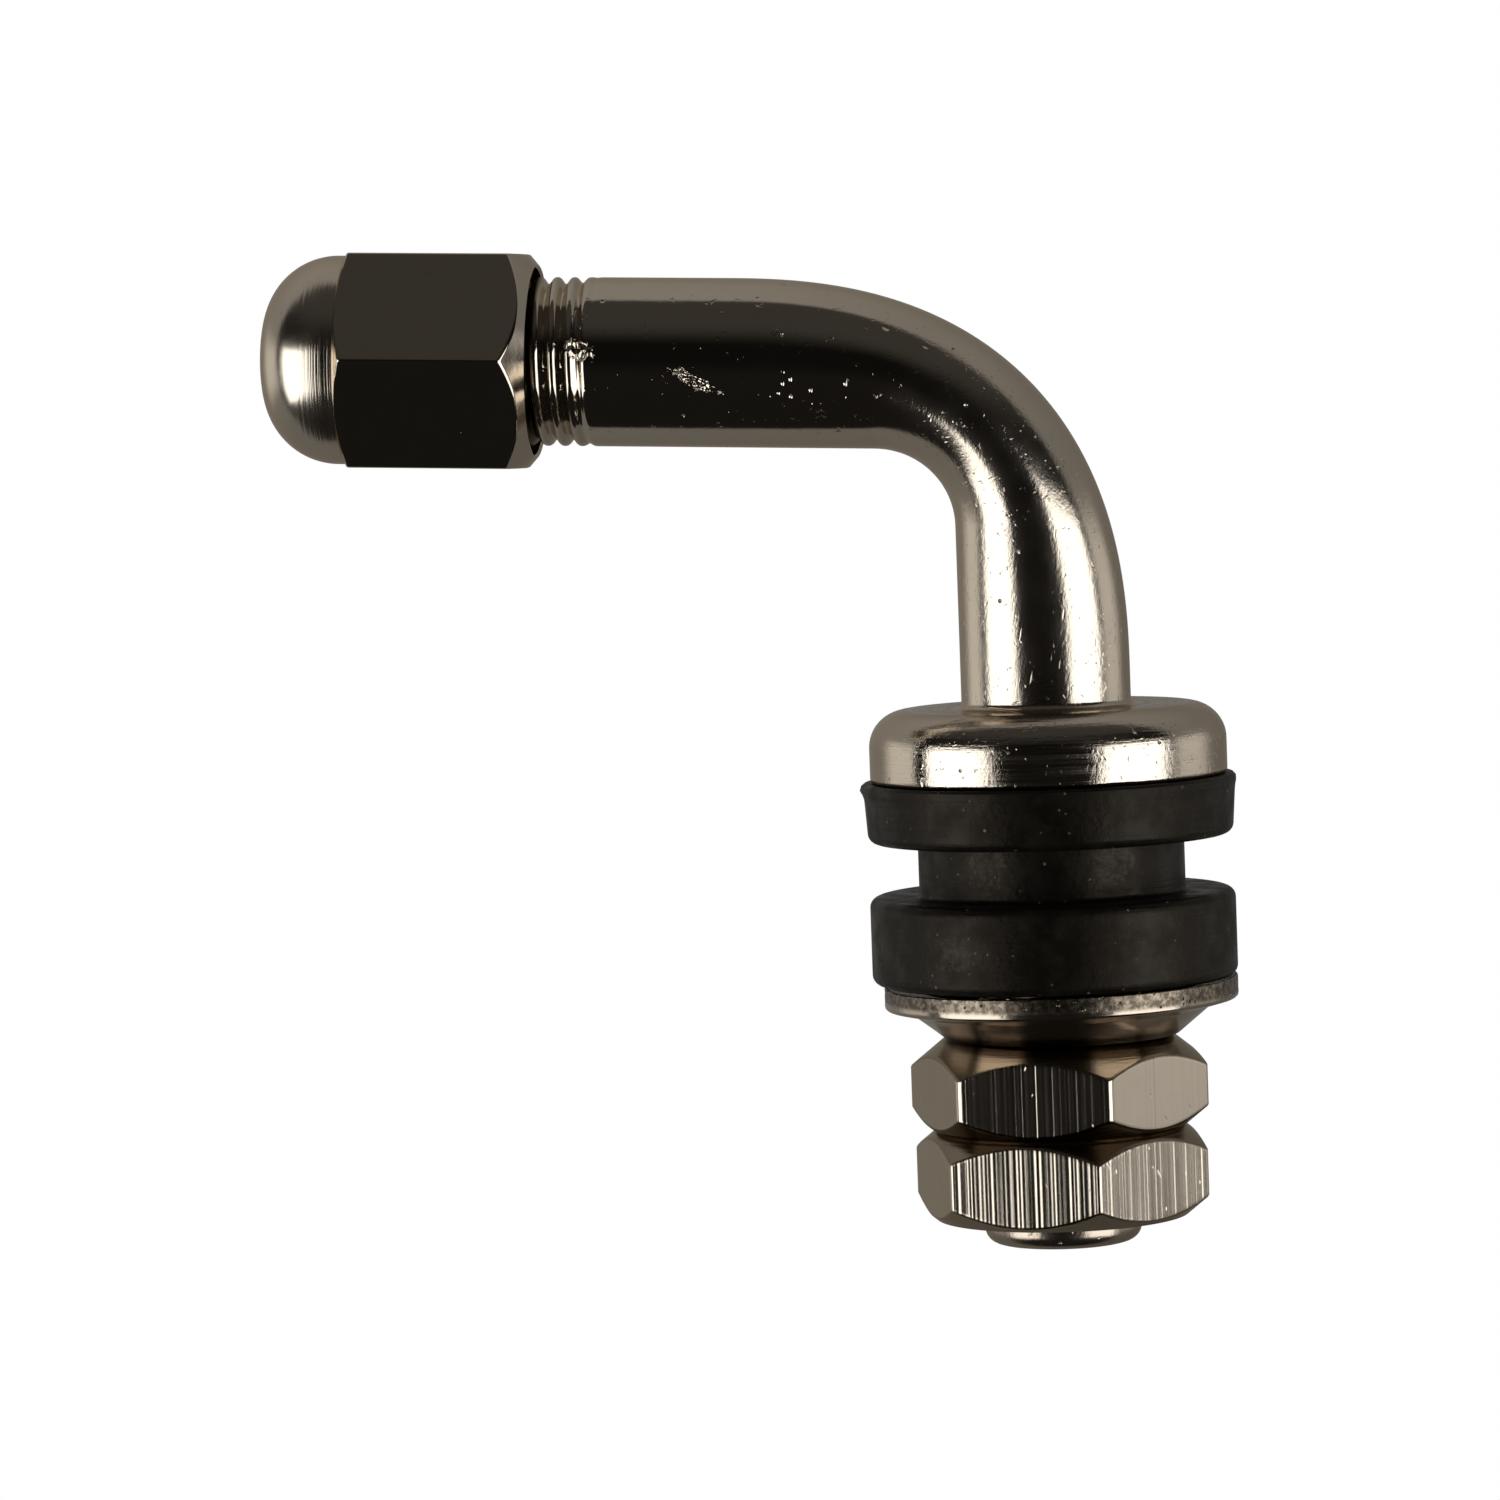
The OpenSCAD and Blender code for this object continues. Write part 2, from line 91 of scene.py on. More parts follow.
# Stem
TUBE_R = 3.875
ARM_LEN = 32.6
ARM_CHAMFER = 0.45
BEND_OUT_L, BEND_OUT_H, BEND_OUT_N = 17.8, 17.7, 2.45
BEND_IN_L, BEND_IN_H, BEND_IN_N = 3.6, 3.5, 2.05
BEND_SPREAD = 0.3
PASSAGE_R = 1.6
PASSAGE_BEND_R = 9.5
FLANGE_TOP = FLANGE_LOW + 3.3
FLANGE_EDGE_R = 1.7
FLANGE_FOOT_R = 0.3
FLANGE_LOW_EDGE = 0.25
SHANK_R = 4.0
TIP_R, TIP_L, TIP_EDGE_R = 3.6, 1.7, 0.7
TIP_BEVEL, TIP_NECK = 0.2, 0.3
PLUG_BORE_R = 2.65
CHAMBER_R = 1.95
CHAMBER_TAPER_AT, CHAMBER_TAPER_L = 7.1, 2.2
CHAMBER_LOW = 18.05
MOUTH_LEAD = 0.5

# Threads of the arm and the shank
THREAD_SHARPNESS = 1.5
VALVE_PITCH = 0.79375
VALVE_THREAD_DEPTH = 0.32
VALVE_THREAD_END = 20.1
VALVE_THREAD_LEAD, VALVE_THREAD_RUNOUT = 0.25, 1.0
VALVE_THREAD_START = 0.35
PLAIN_ARM_AT = VALVE_THREAD_END - 0.45
SHANK_PITCH = 1.0
SHANK_THREAD_DEPTH = 0.5
SHANK_THREAD_GAP = 0.1
SHANK_RUNOUT_TOP, SHANK_RUNOUT_LOW = 0.8, 0.7

# Grommet; its flash lip is ragged all round, with a thick bead at the left
GROOVE_H = 2.5
NECK_R, NECK_FILLET_R = 6.1, 0.2
GROMMET_LOW_R = GROMMET_TOP_R - 0.15
GROMMET_EDGE_R = 0.45
GROMMET_DRAFT = 0.15
GROMMET_TOP_BEVEL_R, GROMMET_TOP_BEVEL_H = 0.1, 0.12
GROMMET_HOLE_R = SHANK_R + 0.05
FLASH_LIP, FLASH_MOST = 0.16, 1.2
FLASH_DROP, FLASH_HALF_H, FLASH_ROOT = 0.3, 0.22, 0.5
FLASH_RAGGED_SHARE = 0.4
FLASH_BEAD_ANGLE = 0.35

# Washer; its rim is sheared and torn above a smooth lower edge
WASHER_T = 1.0
WASHER_RIM_DROP = 0.3
WASHER_RIM_LOW = WASHER_TOP - WASHER_T
WASHER_DISH_R, WASHER_SEAT_R = 6.9, 5.4
WASHER_HOLE_R = SHANK_R + 0.4
WASHER_BEND = math.radians(0.6)
WASHER_TOP_BEVEL = 0.05
WASHER_LOW_EDGE = ((0.1, 0), (0.03, 0.07), (0, 0.2))
TORN_FROM, TORN_TO = WASHER_RIM_LOW + 0.1, WASHER_RIM_LOW + 0.35
TORN_SEED, TORN_ROOT = 11, 0.2
TORN_IN, TORN_SPREAD, TORN_LIFT = 0.02, 0.006, 0.004

# Nuts; depths and steps are those of the milling lines on each flat, the front one first
NUT_AF = 12.1
NUT_CHAMFER = math.radians(39)
NUT_HOLE_R = SHANK_R + 0.05
NUT_LEAD = 0.4
# The last field of a nut is the share of painted shade on its lower chamfer.
Nut = namedtuple("Nut", (
    "name", "body", "top", "low", "turn", "edge_r", "face_r", "seat_r",
    "seed", "depths", "deep_share", "steps", "roughness", "seat_dirt"))
CLAMP_NUT = Nut(
    name="upper_nut", body="clamp_nut", top=CLAMP_NUT_TOP, low=CLAMP_NUT_LOW, turn=math.radians(-8),
    edge_r=0.4, face_r=5.15, seat_r=5.93, seed=3, depths=(0.003, 0.0012, 0.002, 0.002, 0.002, 0.0006),
    deep_share=0.26, steps=(0,) * 6, roughness=0.16, seat_dirt=1.0)
LOCK_NUT = Nut(
    name="lower_nut", body="lock_nut", top=LOCK_NUT_TOP, low=LOCK_NUT_LOW, turn=math.radians(-13),
    edge_r=0.25, face_r=5.57, seat_r=5.8, seed=5, depths=(0.004, 0.004, 0.004, 0.004, 0.004, 0.0006),
    deep_share=0.0, steps=(0.012, 0.002, 0.01, 0.01, 0.01, 0), roughness=0.19, seat_dirt=0.0)

# Milling lines: waves with their shares, and ranges of the deep lines and of the strips' steps
FINE_WAVE, FINE_SHARE = (0.6, 0.5), 0.8
WIDE_WAVE, WIDE_SHARE = np.ones(9) / 3, 0.6
DEEP_LINES = (0.8, 4.5)
STRIP_STEPS = (0.08, 0.4)

# Cap
CAP_AF = 9.8
CAP_EDGE_R = 0.16
CAP_LEN = 12.6
CAP_HEAD_R, CAP_HEAD_L = 4.8, 3.85
CAP_HEAD_STRAIGHT = 0.3
CAP_DOME_R = 3.4
CAP_MOUTH_R = 4.45
CAP_MOUTH_CHAMFER, CAP_HEAD_CHAMFER = math.radians(40), math.radians(25)
CAP_ROOF_AT = ARM_LEN + 1.2
CAP_END = CAP_ROOF_AT + 1.7
CAP_MOUTH = CAP_END - CAP_LEN
CAP_HEX_END = CAP_END - CAP_HEAD_L
CAP_POCKET_R = TUBE_R - 0.25
SEAL_ROOM = 0.03
COUNTERBORE_R, COUNTERBORE_L, COUNTERBORE_BEVEL = 4.3, 0.9, 0.1
THREAD_FIT = 0.05
CAP_THREAD_RUNOUT = 0.6

# Spring of the valve core, as depths below the arm's open end
SPRING_TOP, SPRING_LOW, SPRING_FOOT = 8.3, 13.3, 13.5
SPRING_MEAN_R, SPRING_WIRE_R, SPRING_TURNS = 0.9, 0.15, 7

# How fine the meshes are
SHARP_EDGE = math.radians(35)
RING_SIDES = 160
RING_GAP, BEND_GAP = 0.05, 0.06
ARM_STEP = 0.13
VALVE_THREAD_STEPS, CAP_THREAD_STEPS, SHANK_THREAD_STEPS = 11, 8, 10
PASSAGE_BEND_STEPS = 12
FLAT_POINTS, NUT_EDGE_POINTS, NUT_FLAT_ROWS = 130, 8, 6
CAP_FLAT_POINTS, CAP_EDGE_POINTS, CAP_FLAT_ROWS = 22, 6, 8
CAP_FAN_R, CAP_TOP_R = 0.4, 0.9
CHAMFER_SHARES, CHAMFER_BEVEL, CHAMFER_BEVEL_SHARE = (0.35, 0.7), 0.05, 0.08
WASHER_STEP, WASHER_SIDES = 0.11, 400
GROMMET_STEP, GROMMET_SIDES = 0.2, 240
SPRING_STEPS, SPRING_SIDES = 24, 10

# Marks of use on the stem's front: centre, half sizes and turn about Y
SCRAPE = ((-15.25, -3.7, 22.7), (1.85, 1.2, 0.4), math.radians(28))
SCRAPE_CORE = ((-15.72, -3.7, 23.0), (0.75, 1.2, 0.36), math.radians(24))
CHIPS = ((-20.4, -3.7, 24.25), (0.95, 1.0, 0.6), math.radians(35))
SPECKS = ((-10.0, -3.6, 22.2), (3.4, 1.4, 1.0), math.radians(4))
LEFT_SPECKS = ((-16.4, -3.6, 21.9), (2.0, 1.4, 0.9), math.radians(4))
BEND_SPECKS = ((-4.6, -3.0, 20.6), (1.8, 1.6, 0.7), math.radians(24))
NICKS = ((-6.5, -3.5, 24.8), (-4.7, -3.75, 23.9), (-2.5, -3.8, 23.6))
NICK_SIZE, NICK_TURN = (0.28, 0.6, 0.18), math.radians(35)

# Pale patches of painted sheen on the grommet, where the side lights' highlights fall: two on its neck and
# one on its lower flange
SHEEN_PATCHES = (
    ((-2.7, -5.4, 0.2), (1.3, 1.5, 1.3), 0.0), ((3.1, -5.2, 0.4), (1.3, 1.5, 1.3), 0.0),
    ((-4.0, -7.2, -3.4), (1.5, 1.5, 1.2), 0.0))

# Camera, for a square frame; the focal length is in widths of the sensor
LOOK_AT = (-13.71, 0.12, 5.65)
VIEW_AZIMUTH, VIEW_ELEVATION, VIEW_ROLL = 5.98, 3.66, -2.1
VIEW_DISTANCE = 270.7
VIEW_FOCAL = 3.92
SENSOR_WIDTH = 36
CLIP_START, CLIP_END = 0.005, 20

# Angles round a swept ring
RING_ANGLES = np.arange(RING_SIDES) * 2 * math.pi / RING_SIDES
RING_COS, RING_SIN = np.cos(RING_ANGLES), np.sin(RING_ANGLES)


# Shapes


def smooth_step(low, high, x):
    """0 at low, 1 at high, and smooth between; low may lie above high."""
    t = np.clip((np.asarray(x, float) - low) / (high - low), 0, 1)
    return t * t * (3 - 2 * t)


def unit(angle):
    """Direction in a plane."""
    return np.array([math.cos(angle), math.sin(angle)])


def arc(x, y, r, start, end, steps):
    """Points of an arc, angles in degrees."""
    angles = np.radians(np.linspace(start, end, steps + 1))
    return [(x + r * math.cos(a), y + r * math.sin(a)) for a in angles]


def thread_groove(turns):
    """Depth of a rounded thread, 0 on its crest and 1 in its root, at a place given in turns."""
    wave = 0.5 - 0.5 * np.cos(2 * math.pi * turns)
    return wave ** THREAD_SHARPNESS


def ring_faces(rows, columns, wrap):
    """Quads between neighbouring rings that close round themselves; wrap joins the last to the first."""
    i = np.arange(rows if wrap else rows - 1)[:, None]
    j = np.arange(columns)[None, :]
    k = (j + 1) % columns
    below = (i + 1) % rows
    quads = np.stack(np.broadcast_arrays(
        i * columns + j, i * columns + k, below * columns + k, below * columns + j), axis=-1)
    return quads.reshape(-1, 4).tolist()


def add_object(name, data):
    """New object in the scene."""
    obj = bpy.data.objects.new(name, data)
    bpy.context.scene.collection.objects.link(obj)
    return obj


def mesh_object(name, points, faces):
    """Object from points in millimetres, shaded smooth but for its sharp edges."""
    mesh = bpy.data.meshes.new(name)
    mesh.from_pydata((np.asarray(points) * MM).tolist(), [], faces)
    shape = bmesh.new()
    shape.from_mesh(mesh)
    bmesh.ops.recalc_face_normals(shape, faces=shape.faces)
    shape.to_mesh(mesh)
    shape.free()
    mesh.polygons.foreach_set("use_smooth", [True] * len(mesh.polygons))
    mesh.set_sharp_from_angle(angle=SHARP_EDGE)
    return add_object(name, mesh)


def rings_object(name, rings, fans=False):
    """Object from rings of points: the last joins the first, or each end closes in a fan."""
    rings = np.asarray(rings)
    rows, columns = rings.shape[:2]
    points = rings.reshape(-1, 3)
    faces = ring_faces(rows, columns, wrap=not fans)
    if fans:
        points = np.concatenate([points, rings[[0, -1]].mean(axis=1)])
        for centre, row in ((rows * columns, 0), (rows * columns + 1, rows - 1)):
            start = row * columns
            faces += [[centre, start + j, start + (j + 1) % columns] for j in range(columns)]
    return mesh_object(name, points, faces)


def turned_rings(profile, sides):
    """Rings of a turned shape from its outline, given as radius and height."""
    angles = np.arange(sides) * 2 * math.pi / sides
    profile = np.asarray(profile, float)
    x = profile[:, :1] * np.cos(angles)
    y = profile[:, :1] * np.sin(angles)
    z = np.broadcast_to(profile[:, 1:], x.shape)
    return np.stack([x, y, z], axis=-1)


def refined(profile, step):
    """The outline with points added so that none lie further apart than step."""
    out = []
    for (r0, z0), (r1, z1) in zip(profile, profile[1:] + profile[:1]):
        count = max(1, math.ceil(math.hypot(r1 - r0, z1 - z0) / step))
        out += [(r0 + (r1 - r0) * i / count, z0 + (z1 - z0) * i / count) for i in range(count)]
    return out


def to_arm(points):
    """Points from the arm's own frame (up, side, out along the arm) to the object's frame."""
    points = np.asarray(points)
    origin = np.array([0, 0, ARM_Z])
    side = np.array([0.0, 1.0, 0.0])
    return origin + points[..., :1] * ARM_UP + points[..., 1:2] * side + points[..., 2:] * ARM_OUT


# Bend of the stem, in its own plane: x along the radius of the base, z along its axis

PLANE_IN = -ARM_OUT[[0, 2]]
PLANE_UP = ARM_UP[[0, 2]]
PLANE_CORNER = np.array([0.0, ARM_Z])
BASE_RIGHT, BASE_UP = np.array([1.0, 0.0]), np.array([0.0, 1.0])
BEND_TURN = math.atan2(PLANE_UP[1], PLANE_UP[0])
FARTHEST_REACH, HALVINGS = 8 * TUBE_R, 40


def bend_corner(side):
    """Where the arm's line and the base's line cross, both side away from their axes."""
    at = PLANE_CORNER + side * PLANE_UP
    return at + (side - at[0]) / PLANE_IN[0] * PLANE_IN


def bend_curve(side, length, height, squareness):
    """Rounded corner of the bend: its centre, reach along the arm and the base, and squareness."""
    centre = bend_corner(side) - length * PLANE_IN - height * BASE_UP
    return centre, length, height, squareness


BEND_OUT = bend_curve(TUBE_R, BEND_OUT_L, BEND_OUT_H, BEND_OUT_N)
BEND_IN = bend_curve(-TUBE_R, BEND_IN_L, BEND_IN_H, BEND_IN_N)


def reach(start, direction, curve):
    """Distance from a point inside a rounded corner to its curve, by halving."""
    centre, length, height, squareness = curve
    low, high = 0.0, FARTHEST_REACH
    for _ in range(HALVINGS):
        middle = (low + high) / 2
        at = start + middle * direction - centre
        along = at[0] / PLANE_IN[0]
        up = at[1] - along * PLANE_IN[1]
        level = (max(0, along) / length) ** squareness + (max(0, up) / height) ** squareness
        low, high = (low, middle) if level > 1 else (middle, high)
    return low


def bend_section(start, direction):
    """A section of the bend: middle, direction, half height and half width."""
    near, far = reach(start, direction, BEND_IN), reach(start, direction, BEND_OUT)
    half = (far - near) / 2
    return start + (near + half) * direction, direction, half, TUBE_R + BEND_SPREAD * (TUBE_R - half)


def bend_sections(arm_steps=70, turn_steps=64, base_steps=24):
    """Sections from the arm, round the inside of the bend, to the base."""
    inside = BEND_IN[0]
    arm_run = (inside - bend_corner(TUBE_R)) @ PLANE_IN + BEND_OUT_L
    base_run = inside[1] - bend_corner(TUBE_R)[1] + BEND_OUT_H
    sections = [
        bend_section(inside - arm_run * (1 - i / arm_steps) * PLANE_IN, PLANE_UP) for i in range(arm_steps)
    ]
    for i in range(turn_steps + 1):
        sections.append(bend_section(inside, unit(BEND_TURN * (1 - i / turn_steps))))
    for i in range(1, base_steps + 1):
        sections.append(bend_section(inside - base_run * i / base_steps * BASE_UP, BASE_RIGHT))
    return sections


def swept_ring(centre, direction, height, width):
    """Ring of points round a section; height and width may vary round the ring."""
    x = centre[0] + height * RING_COS * direction[0]
    z = centre[1] + height * RING_COS * direction[1]
    y = np.broadcast_to(width * RING_SIN, x.shape)
    return np.stack([x, y, z], axis=-1)


def arm_ring(out, radius):
    """Ring round the arm, at a distance out from the base's axis."""
    return swept_ring(PLANE_CORNER - out * PLANE_IN, PLANE_UP, radius, radius)


def base_ring(z, radius):
    """Ring round the base at a height."""
    return swept_ring(z * BASE_UP, BASE_RIGHT, radius, radius)


def valve_thread(out, angles):
    """Depth of the valve thread at angles round the arm, at a distance out from the base's axis."""
    fade = smooth_step(VALVE_THREAD_END - VALVE_THREAD_LEAD, VALVE_THREAD_END + VALVE_THREAD_RUNOUT, out)
    turns = out / VALVE_PITCH - angles / (2 * math.pi) + VALVE_THREAD_START
    return VALVE_THREAD_DEPTH * fade * thread_groove(turns)


def arm_rings(bend_start):
    """The arm from its open end to the bend, with the valve thread."""
    rings = [arm_ring(ARM_LEN, TUBE_R - ARM_CHAMFER)]
    for out in np.arange(ARM_LEN - RING_GAP, PLAIN_ARM_AT + RING_GAP, -VALVE_PITCH / VALVE_THREAD_STEPS):
        bevel = np.maximum(0, out - (ARM_LEN - ARM_CHAMFER))
        rings.append(arm_ring(out, TUBE_R - np.maximum(valve_thread(out, RING_ANGLES), bevel)))
    for out in np.arange(PLAIN_ARM_AT, bend_start + BEND_GAP, -ARM_STEP):
        rings.append(arm_ring(out, TUBE_R))
    return rings


def shank_rings(top, low):
    """The shank's thread, from the bottom of the grommet to the plain tip."""
    rings = []
    for z in np.arange(top, low, -SHANK_PITCH / SHANK_THREAD_STEPS):
        fade = smooth_step(top, top - SHANK_RUNOUT_TOP, z) * smooth_step(low, low + SHANK_RUNOUT_LOW, z)
        groove = thread_groove(z / SHANK_PITCH - RING_ANGLES / (2 * math.pi))
        rings.append(base_ring(z, SHANK_R - SHANK_THREAD_DEPTH * fade * groove))
    return rings


def flange_rings(bend_low):
    """The base tube below the bend, the flange and the plain shank inside the grommet."""
    foot, inner = FLANGE_TOP + FLANGE_FOOT_R, TUBE_R + FLANGE_FOOT_R
    edge, side_top = FLANGE_R - FLANGE_EDGE_R, FLANGE_TOP - FLANGE_EDGE_R
    side_low = FLANGE_LOW + FLANGE_LOW_EDGE
    profile = [(TUBE_R, z) for z in np.linspace(bend_low, foot, num=12)[1:]]
    profile += arc(inner, foot, FLANGE_FOOT_R, 180, 270, steps=6)[1:]
    profile += [(inner + (edge - inner) * share, FLANGE_TOP) for share in (0.3, 0.7)]
    profile += arc(edge, side_top, FLANGE_EDGE_R, 90, 0, steps=16)
    profile += [(FLANGE_R, z) for z in np.linspace(side_top, side_low + RING_GAP, num=6)[1:]]
    profile += arc(FLANGE_R - FLANGE_LOW_EDGE, side_low, FLANGE_LOW_EDGE, 0, -90, steps=5)
    profile += [(SHANK_R, FLANGE_LOW), (SHANK_R, WASHER_TOP + SHANK_THREAD_GAP)]
    return [base_ring(z, r) for r, z in profile]


def tip_rings(top):
    """The plain tip of the shank and the mouth of the air passage."""
    profile = [(TIP_R + TIP_BEVEL, top + TIP_BEVEL), (TIP_R, top)]
    profile += arc(TIP_R - TIP_EDGE_R, SHANK_LOW + TIP_EDGE_R, TIP_EDGE_R, 0, -90, steps=8)
    profile += [(PASSAGE_R + MOUTH_LEAD, SHANK_LOW), (PASSAGE_R, SHANK_LOW + MOUTH_LEAD)]
    return [base_ring(z, r) for r, z in profile]


def passage_rings():
    """The air passage from the shank round the bend to the open end of the arm."""
    tangent = PASSAGE_BEND_R * math.tan(BEND_TURN / 2)
    elbow_z = ARM_Z - tangent
    rings = []
    for i in range(PASSAGE_BEND_STEPS + 1):
        outwards = unit(BEND_TURN * i / PASSAGE_BEND_STEPS)
        centre = np.array([-PASSAGE_BEND_R, elbow_z]) + PASSAGE_BEND_R * outwards
        rings.append(swept_ring(centre, outwards, PASSAGE_R, PASSAGE_R))
    depths = [
        (CHAMBER_LOW + CHAMBER_R - PASSAGE_R, PASSAGE_R), (CHAMBER_LOW, CHAMBER_R),
        (CHAMBER_TAPER_AT + CHAMBER_TAPER_L, CHAMBER_R), (CHAMBER_TAPER_AT, PLUG_BORE_R),
        (MOUTH_LEAD, PLUG_BORE_R), (0, PLUG_BORE_R + MOUTH_LEAD),
    ]
    return rings + [arm_ring(ARM_LEN - depth, r) for depth, r in depths]


def make_stem():
    """One sweep along the outside to the shank's tip, and back inside the passage."""
    sections = bend_sections()
    bend_start = (PLANE_CORNER - sections[0][0]) @ PLANE_IN
    tip_top = SHANK_LOW + TIP_L
    rings = arm_rings(bend_start)
    rings += [swept_ring(*section) for section in sections]
    rings += flange_rings(sections[-1][0][1])
    rings += shank_rings(WASHER_TOP, tip_top + TIP_NECK)
    rings += tip_rings(tip_top)
    rings += passage_rings()
    return rings_object("stem_skin", rings)


# Hexagonal pieces


def hexagon_outline(af, edge_r, flat_points, edge_points, lines=None):
    """Points round a hexagon with rounded edges; lines gives each flat's depth across its width."""
    half = af / 2
    half_flat = (half - edge_r) * math.tan(math.pi / 6)
    outline = []
    for k in range(6):
        angle = k * math.pi / 3
        normal = unit(angle)
        across = np.array([-normal[1], normal[0]])
        for i, u in enumerate(np.linspace(-half_flat, half_flat, flat_points)):
            depth = 0 if lines is None else lines[k][i]
            outline.append((half - depth) * normal + u * across)
        centre = (half - edge_r) * normal + half_flat * across
        for i in range(1, edge_points):
            outline.append(centre + edge_r * unit(angle + i / edge_points * math.pi / 3))
    return np.array(outline)


def level_row(outline, radius, z):
    """Round row of a hexagonal piece: the outline's points drawn in to a radius, which may vary."""
    scale = radius / np.linalg.norm(outline, axis=1)
    return np.column_stack([outline * scale[:, None], np.full(len(outline), z)])


def chamfer_rows(outline, radius, z, slope, side):
    """Rows from a round end face over its chamfer to the flats, with a narrow bevel between them.
    side is 1 where the flats lie above the end face and -1 where they lie below it."""
    corner = np.linalg.norm(outline, axis=1)
    span = corner - radius

    def on_chamfer(r):
        return np.column_stack([outline * (r / corner)[:, None], z + side * (r - radius) * math.tan(slope)])

    rows = [level_row(outline, radius, z)]
    rows += [on_chamfer(radius + span * share) for share in CHAMFER_SHARES]
    for back in (3, 1):
        rows.append(on_chamfer(corner - back * np.minimum(CHAMFER_BEVEL, span * CHAMFER_BEVEL_SHARE)))
    for ahead in (1, 3):
        rows.append(np.column_stack([outline, z + side * (span * math.tan(slope) + ahead * CHAMFER_BEVEL)]))
    return rows


def flat_rows(first, last, count):
    """Rows between two rows, shared out evenly."""
    return [first + (last - first) * i / (count + 1) for i in range(1, count + 1)]


def milled_lines(nut):
    """Depth of the milling lines across each of six flats: narrow and wide random waves, some deep lines,
    and uneven steps that lean each strip between them a little to one side."""
    random = np.random.default_rng(nut.seed)
    flats = []
    for depth, step in zip(nut.depths, nut.steps):
        fine, wide = (
            np.convolve(random.normal(0, 1, FLAT_POINTS + len(wave) - 1), wave, "valid")
            for wave in (FINE_WAVE, WIDE_WAVE))
        deep = (random.random(FLAT_POINTS) < nut.deep_share) * random.uniform(*DEEP_LINES, FLAT_POINTS)
        strips = 1 - np.cumsum(random.uniform(*STRIP_STEPS, FLAT_POINTS)) % 1
        flats.append(depth * (FINE_SHARE * fine + WIDE_SHARE * wide + deep) + step * strips)
    return flats


def make_nut(nut):
    """Chamfered nut, turned about its axis; its first flat faces -Y before the turn."""
    outline = hexagon_outline(NUT_AF, nut.edge_r, FLAT_POINTS, NUT_EDGE_POINTS, milled_lines(nut))
    turn = nut.turn - math.pi / 2
    c, s = math.cos(turn), math.sin(turn)
    outline = outline @ np.array([[c, s], [-s, c]])
    upper = chamfer_rows(outline, nut.face_r, nut.top, NUT_CHAMFER, -1)
    lower = chamfer_rows(outline, nut.seat_r, nut.low, NUT_CHAMFER, 1)[::-1]
    mouth_r = NUT_HOLE_R + NUT_LEAD
    hole = [(mouth_r, nut.low), (NUT_HOLE_R, nut.low + NUT_LEAD), (NUT_HOLE_R, nut.top - NUT_LEAD)]
    rows = [level_row(outline, mouth_r, nut.top)]
    rows += upper + flat_rows(upper[-1], lower[0], NUT_FLAT_ROWS) + lower
    rows += [level_row(outline, r, z) for r, z in hole]
    return rings_object(nut.name, rows)


def cap_thread_rows(outline, floor):
    """The thread inside the cap, in mesh with the arm's."""
    angles = np.arctan2(outline[:, 1], outline[:, 0])
    rows = []
    for out in np.arange(ARM_LEN, floor, -VALVE_PITCH / CAP_THREAD_STEPS):
        fade = smooth_step(floor, floor + CAP_THREAD_RUNOUT, out)
        rows.append(level_row(outline, TUBE_R + THREAD_FIT - fade * valve_thread(out, angles), out))
    return rows


def make_cap():
    """Hexagonal cap with a round head, a counterbore at its mouth and a thread inside."""
    outline = hexagon_outline(CAP_AF, CAP_EDGE_R, CAP_FLAT_POINTS, CAP_EDGE_POINTS)
    mouth = chamfer_rows(outline, CAP_MOUTH_R, CAP_MOUTH, CAP_MOUTH_CHAMFER, 1)
    head = chamfer_rows(outline, CAP_HEAD_R, CAP_HEX_END, CAP_HEAD_CHAMFER, -1)[::-1]
    floor = CAP_MOUTH + COUNTERBORE_L
    roof, wall = CAP_ROOF_AT + SEAL_ROOM, CAP_POCKET_R + SEAL_ROOM
    pocket = [(CAP_FAN_R, roof), (wall, roof), (wall, ARM_LEN + RING_GAP)]
    counterbore = [
        (TUBE_R + THREAD_FIT, floor), (COUNTERBORE_R, floor), (COUNTERBORE_R, CAP_MOUTH + COUNTERBORE_BEVEL),
        (COUNTERBORE_R + COUNTERBORE_BEVEL, CAP_MOUTH),
    ]
    dome = [(CAP_HEAD_R, CAP_HEX_END + RING_GAP), (CAP_HEAD_R, CAP_HEX_END + CAP_HEAD_STRAIGHT)]
    dome += arc(CAP_HEAD_R - CAP_DOME_R, CAP_END - CAP_DOME_R, CAP_DOME_R, 0, 90, steps=24)
    dome += [(CAP_TOP_R, CAP_END), (CAP_FAN_R, CAP_END)]
    rows = [level_row(outline, r, out) for r, out in pocket]
    rows += cap_thread_rows(outline, floor)
    rows += [level_row(outline, r, out) for r, out in counterbore]
    rows += mouth + flat_rows(mouth[-1], head[0], CAP_FLAT_ROWS) + head
    rows += [level_row(outline, r, out) for r, out in dome]
    return rings_object("cap_shell", to_arm(np.array(rows)), fans=True)


# Turned pieces


def washer_profile():
    """Half section of the washer before its rim is torn."""
    dish_top, seat_top = WASHER_TOP - WASHER_RIM_DROP, CLAMP_NUT_TOP + WASHER_T
    slope = math.atan2(dish_top - WASHER_T - CLAMP_NUT_TOP, WASHER_DISH_R - WASHER_SEAT_R)
    inset = WASHER_T * math.tan(slope / 2)
    profile = [
        (WASHER_HOLE_R, CLAMP_NUT_TOP), (WASHER_SEAT_R, CLAMP_NUT_TOP), (WASHER_DISH_R, dish_top - WASHER_T)]
    profile += [(WASHER_R - back, WASHER_RIM_LOW + rise) for back, rise in WASHER_LOW_EDGE]
    profile += [(WASHER_R, WASHER_TOP - WASHER_TOP_BEVEL), (WASHER_R - WASHER_TOP_BEVEL, WASHER_TOP)]
    profile += [(WASHER_DISH_R - inset, dish_top), (WASHER_SEAT_R - inset, seat_top)]
    return profile + [(WASHER_HOLE_R, seat_top)]


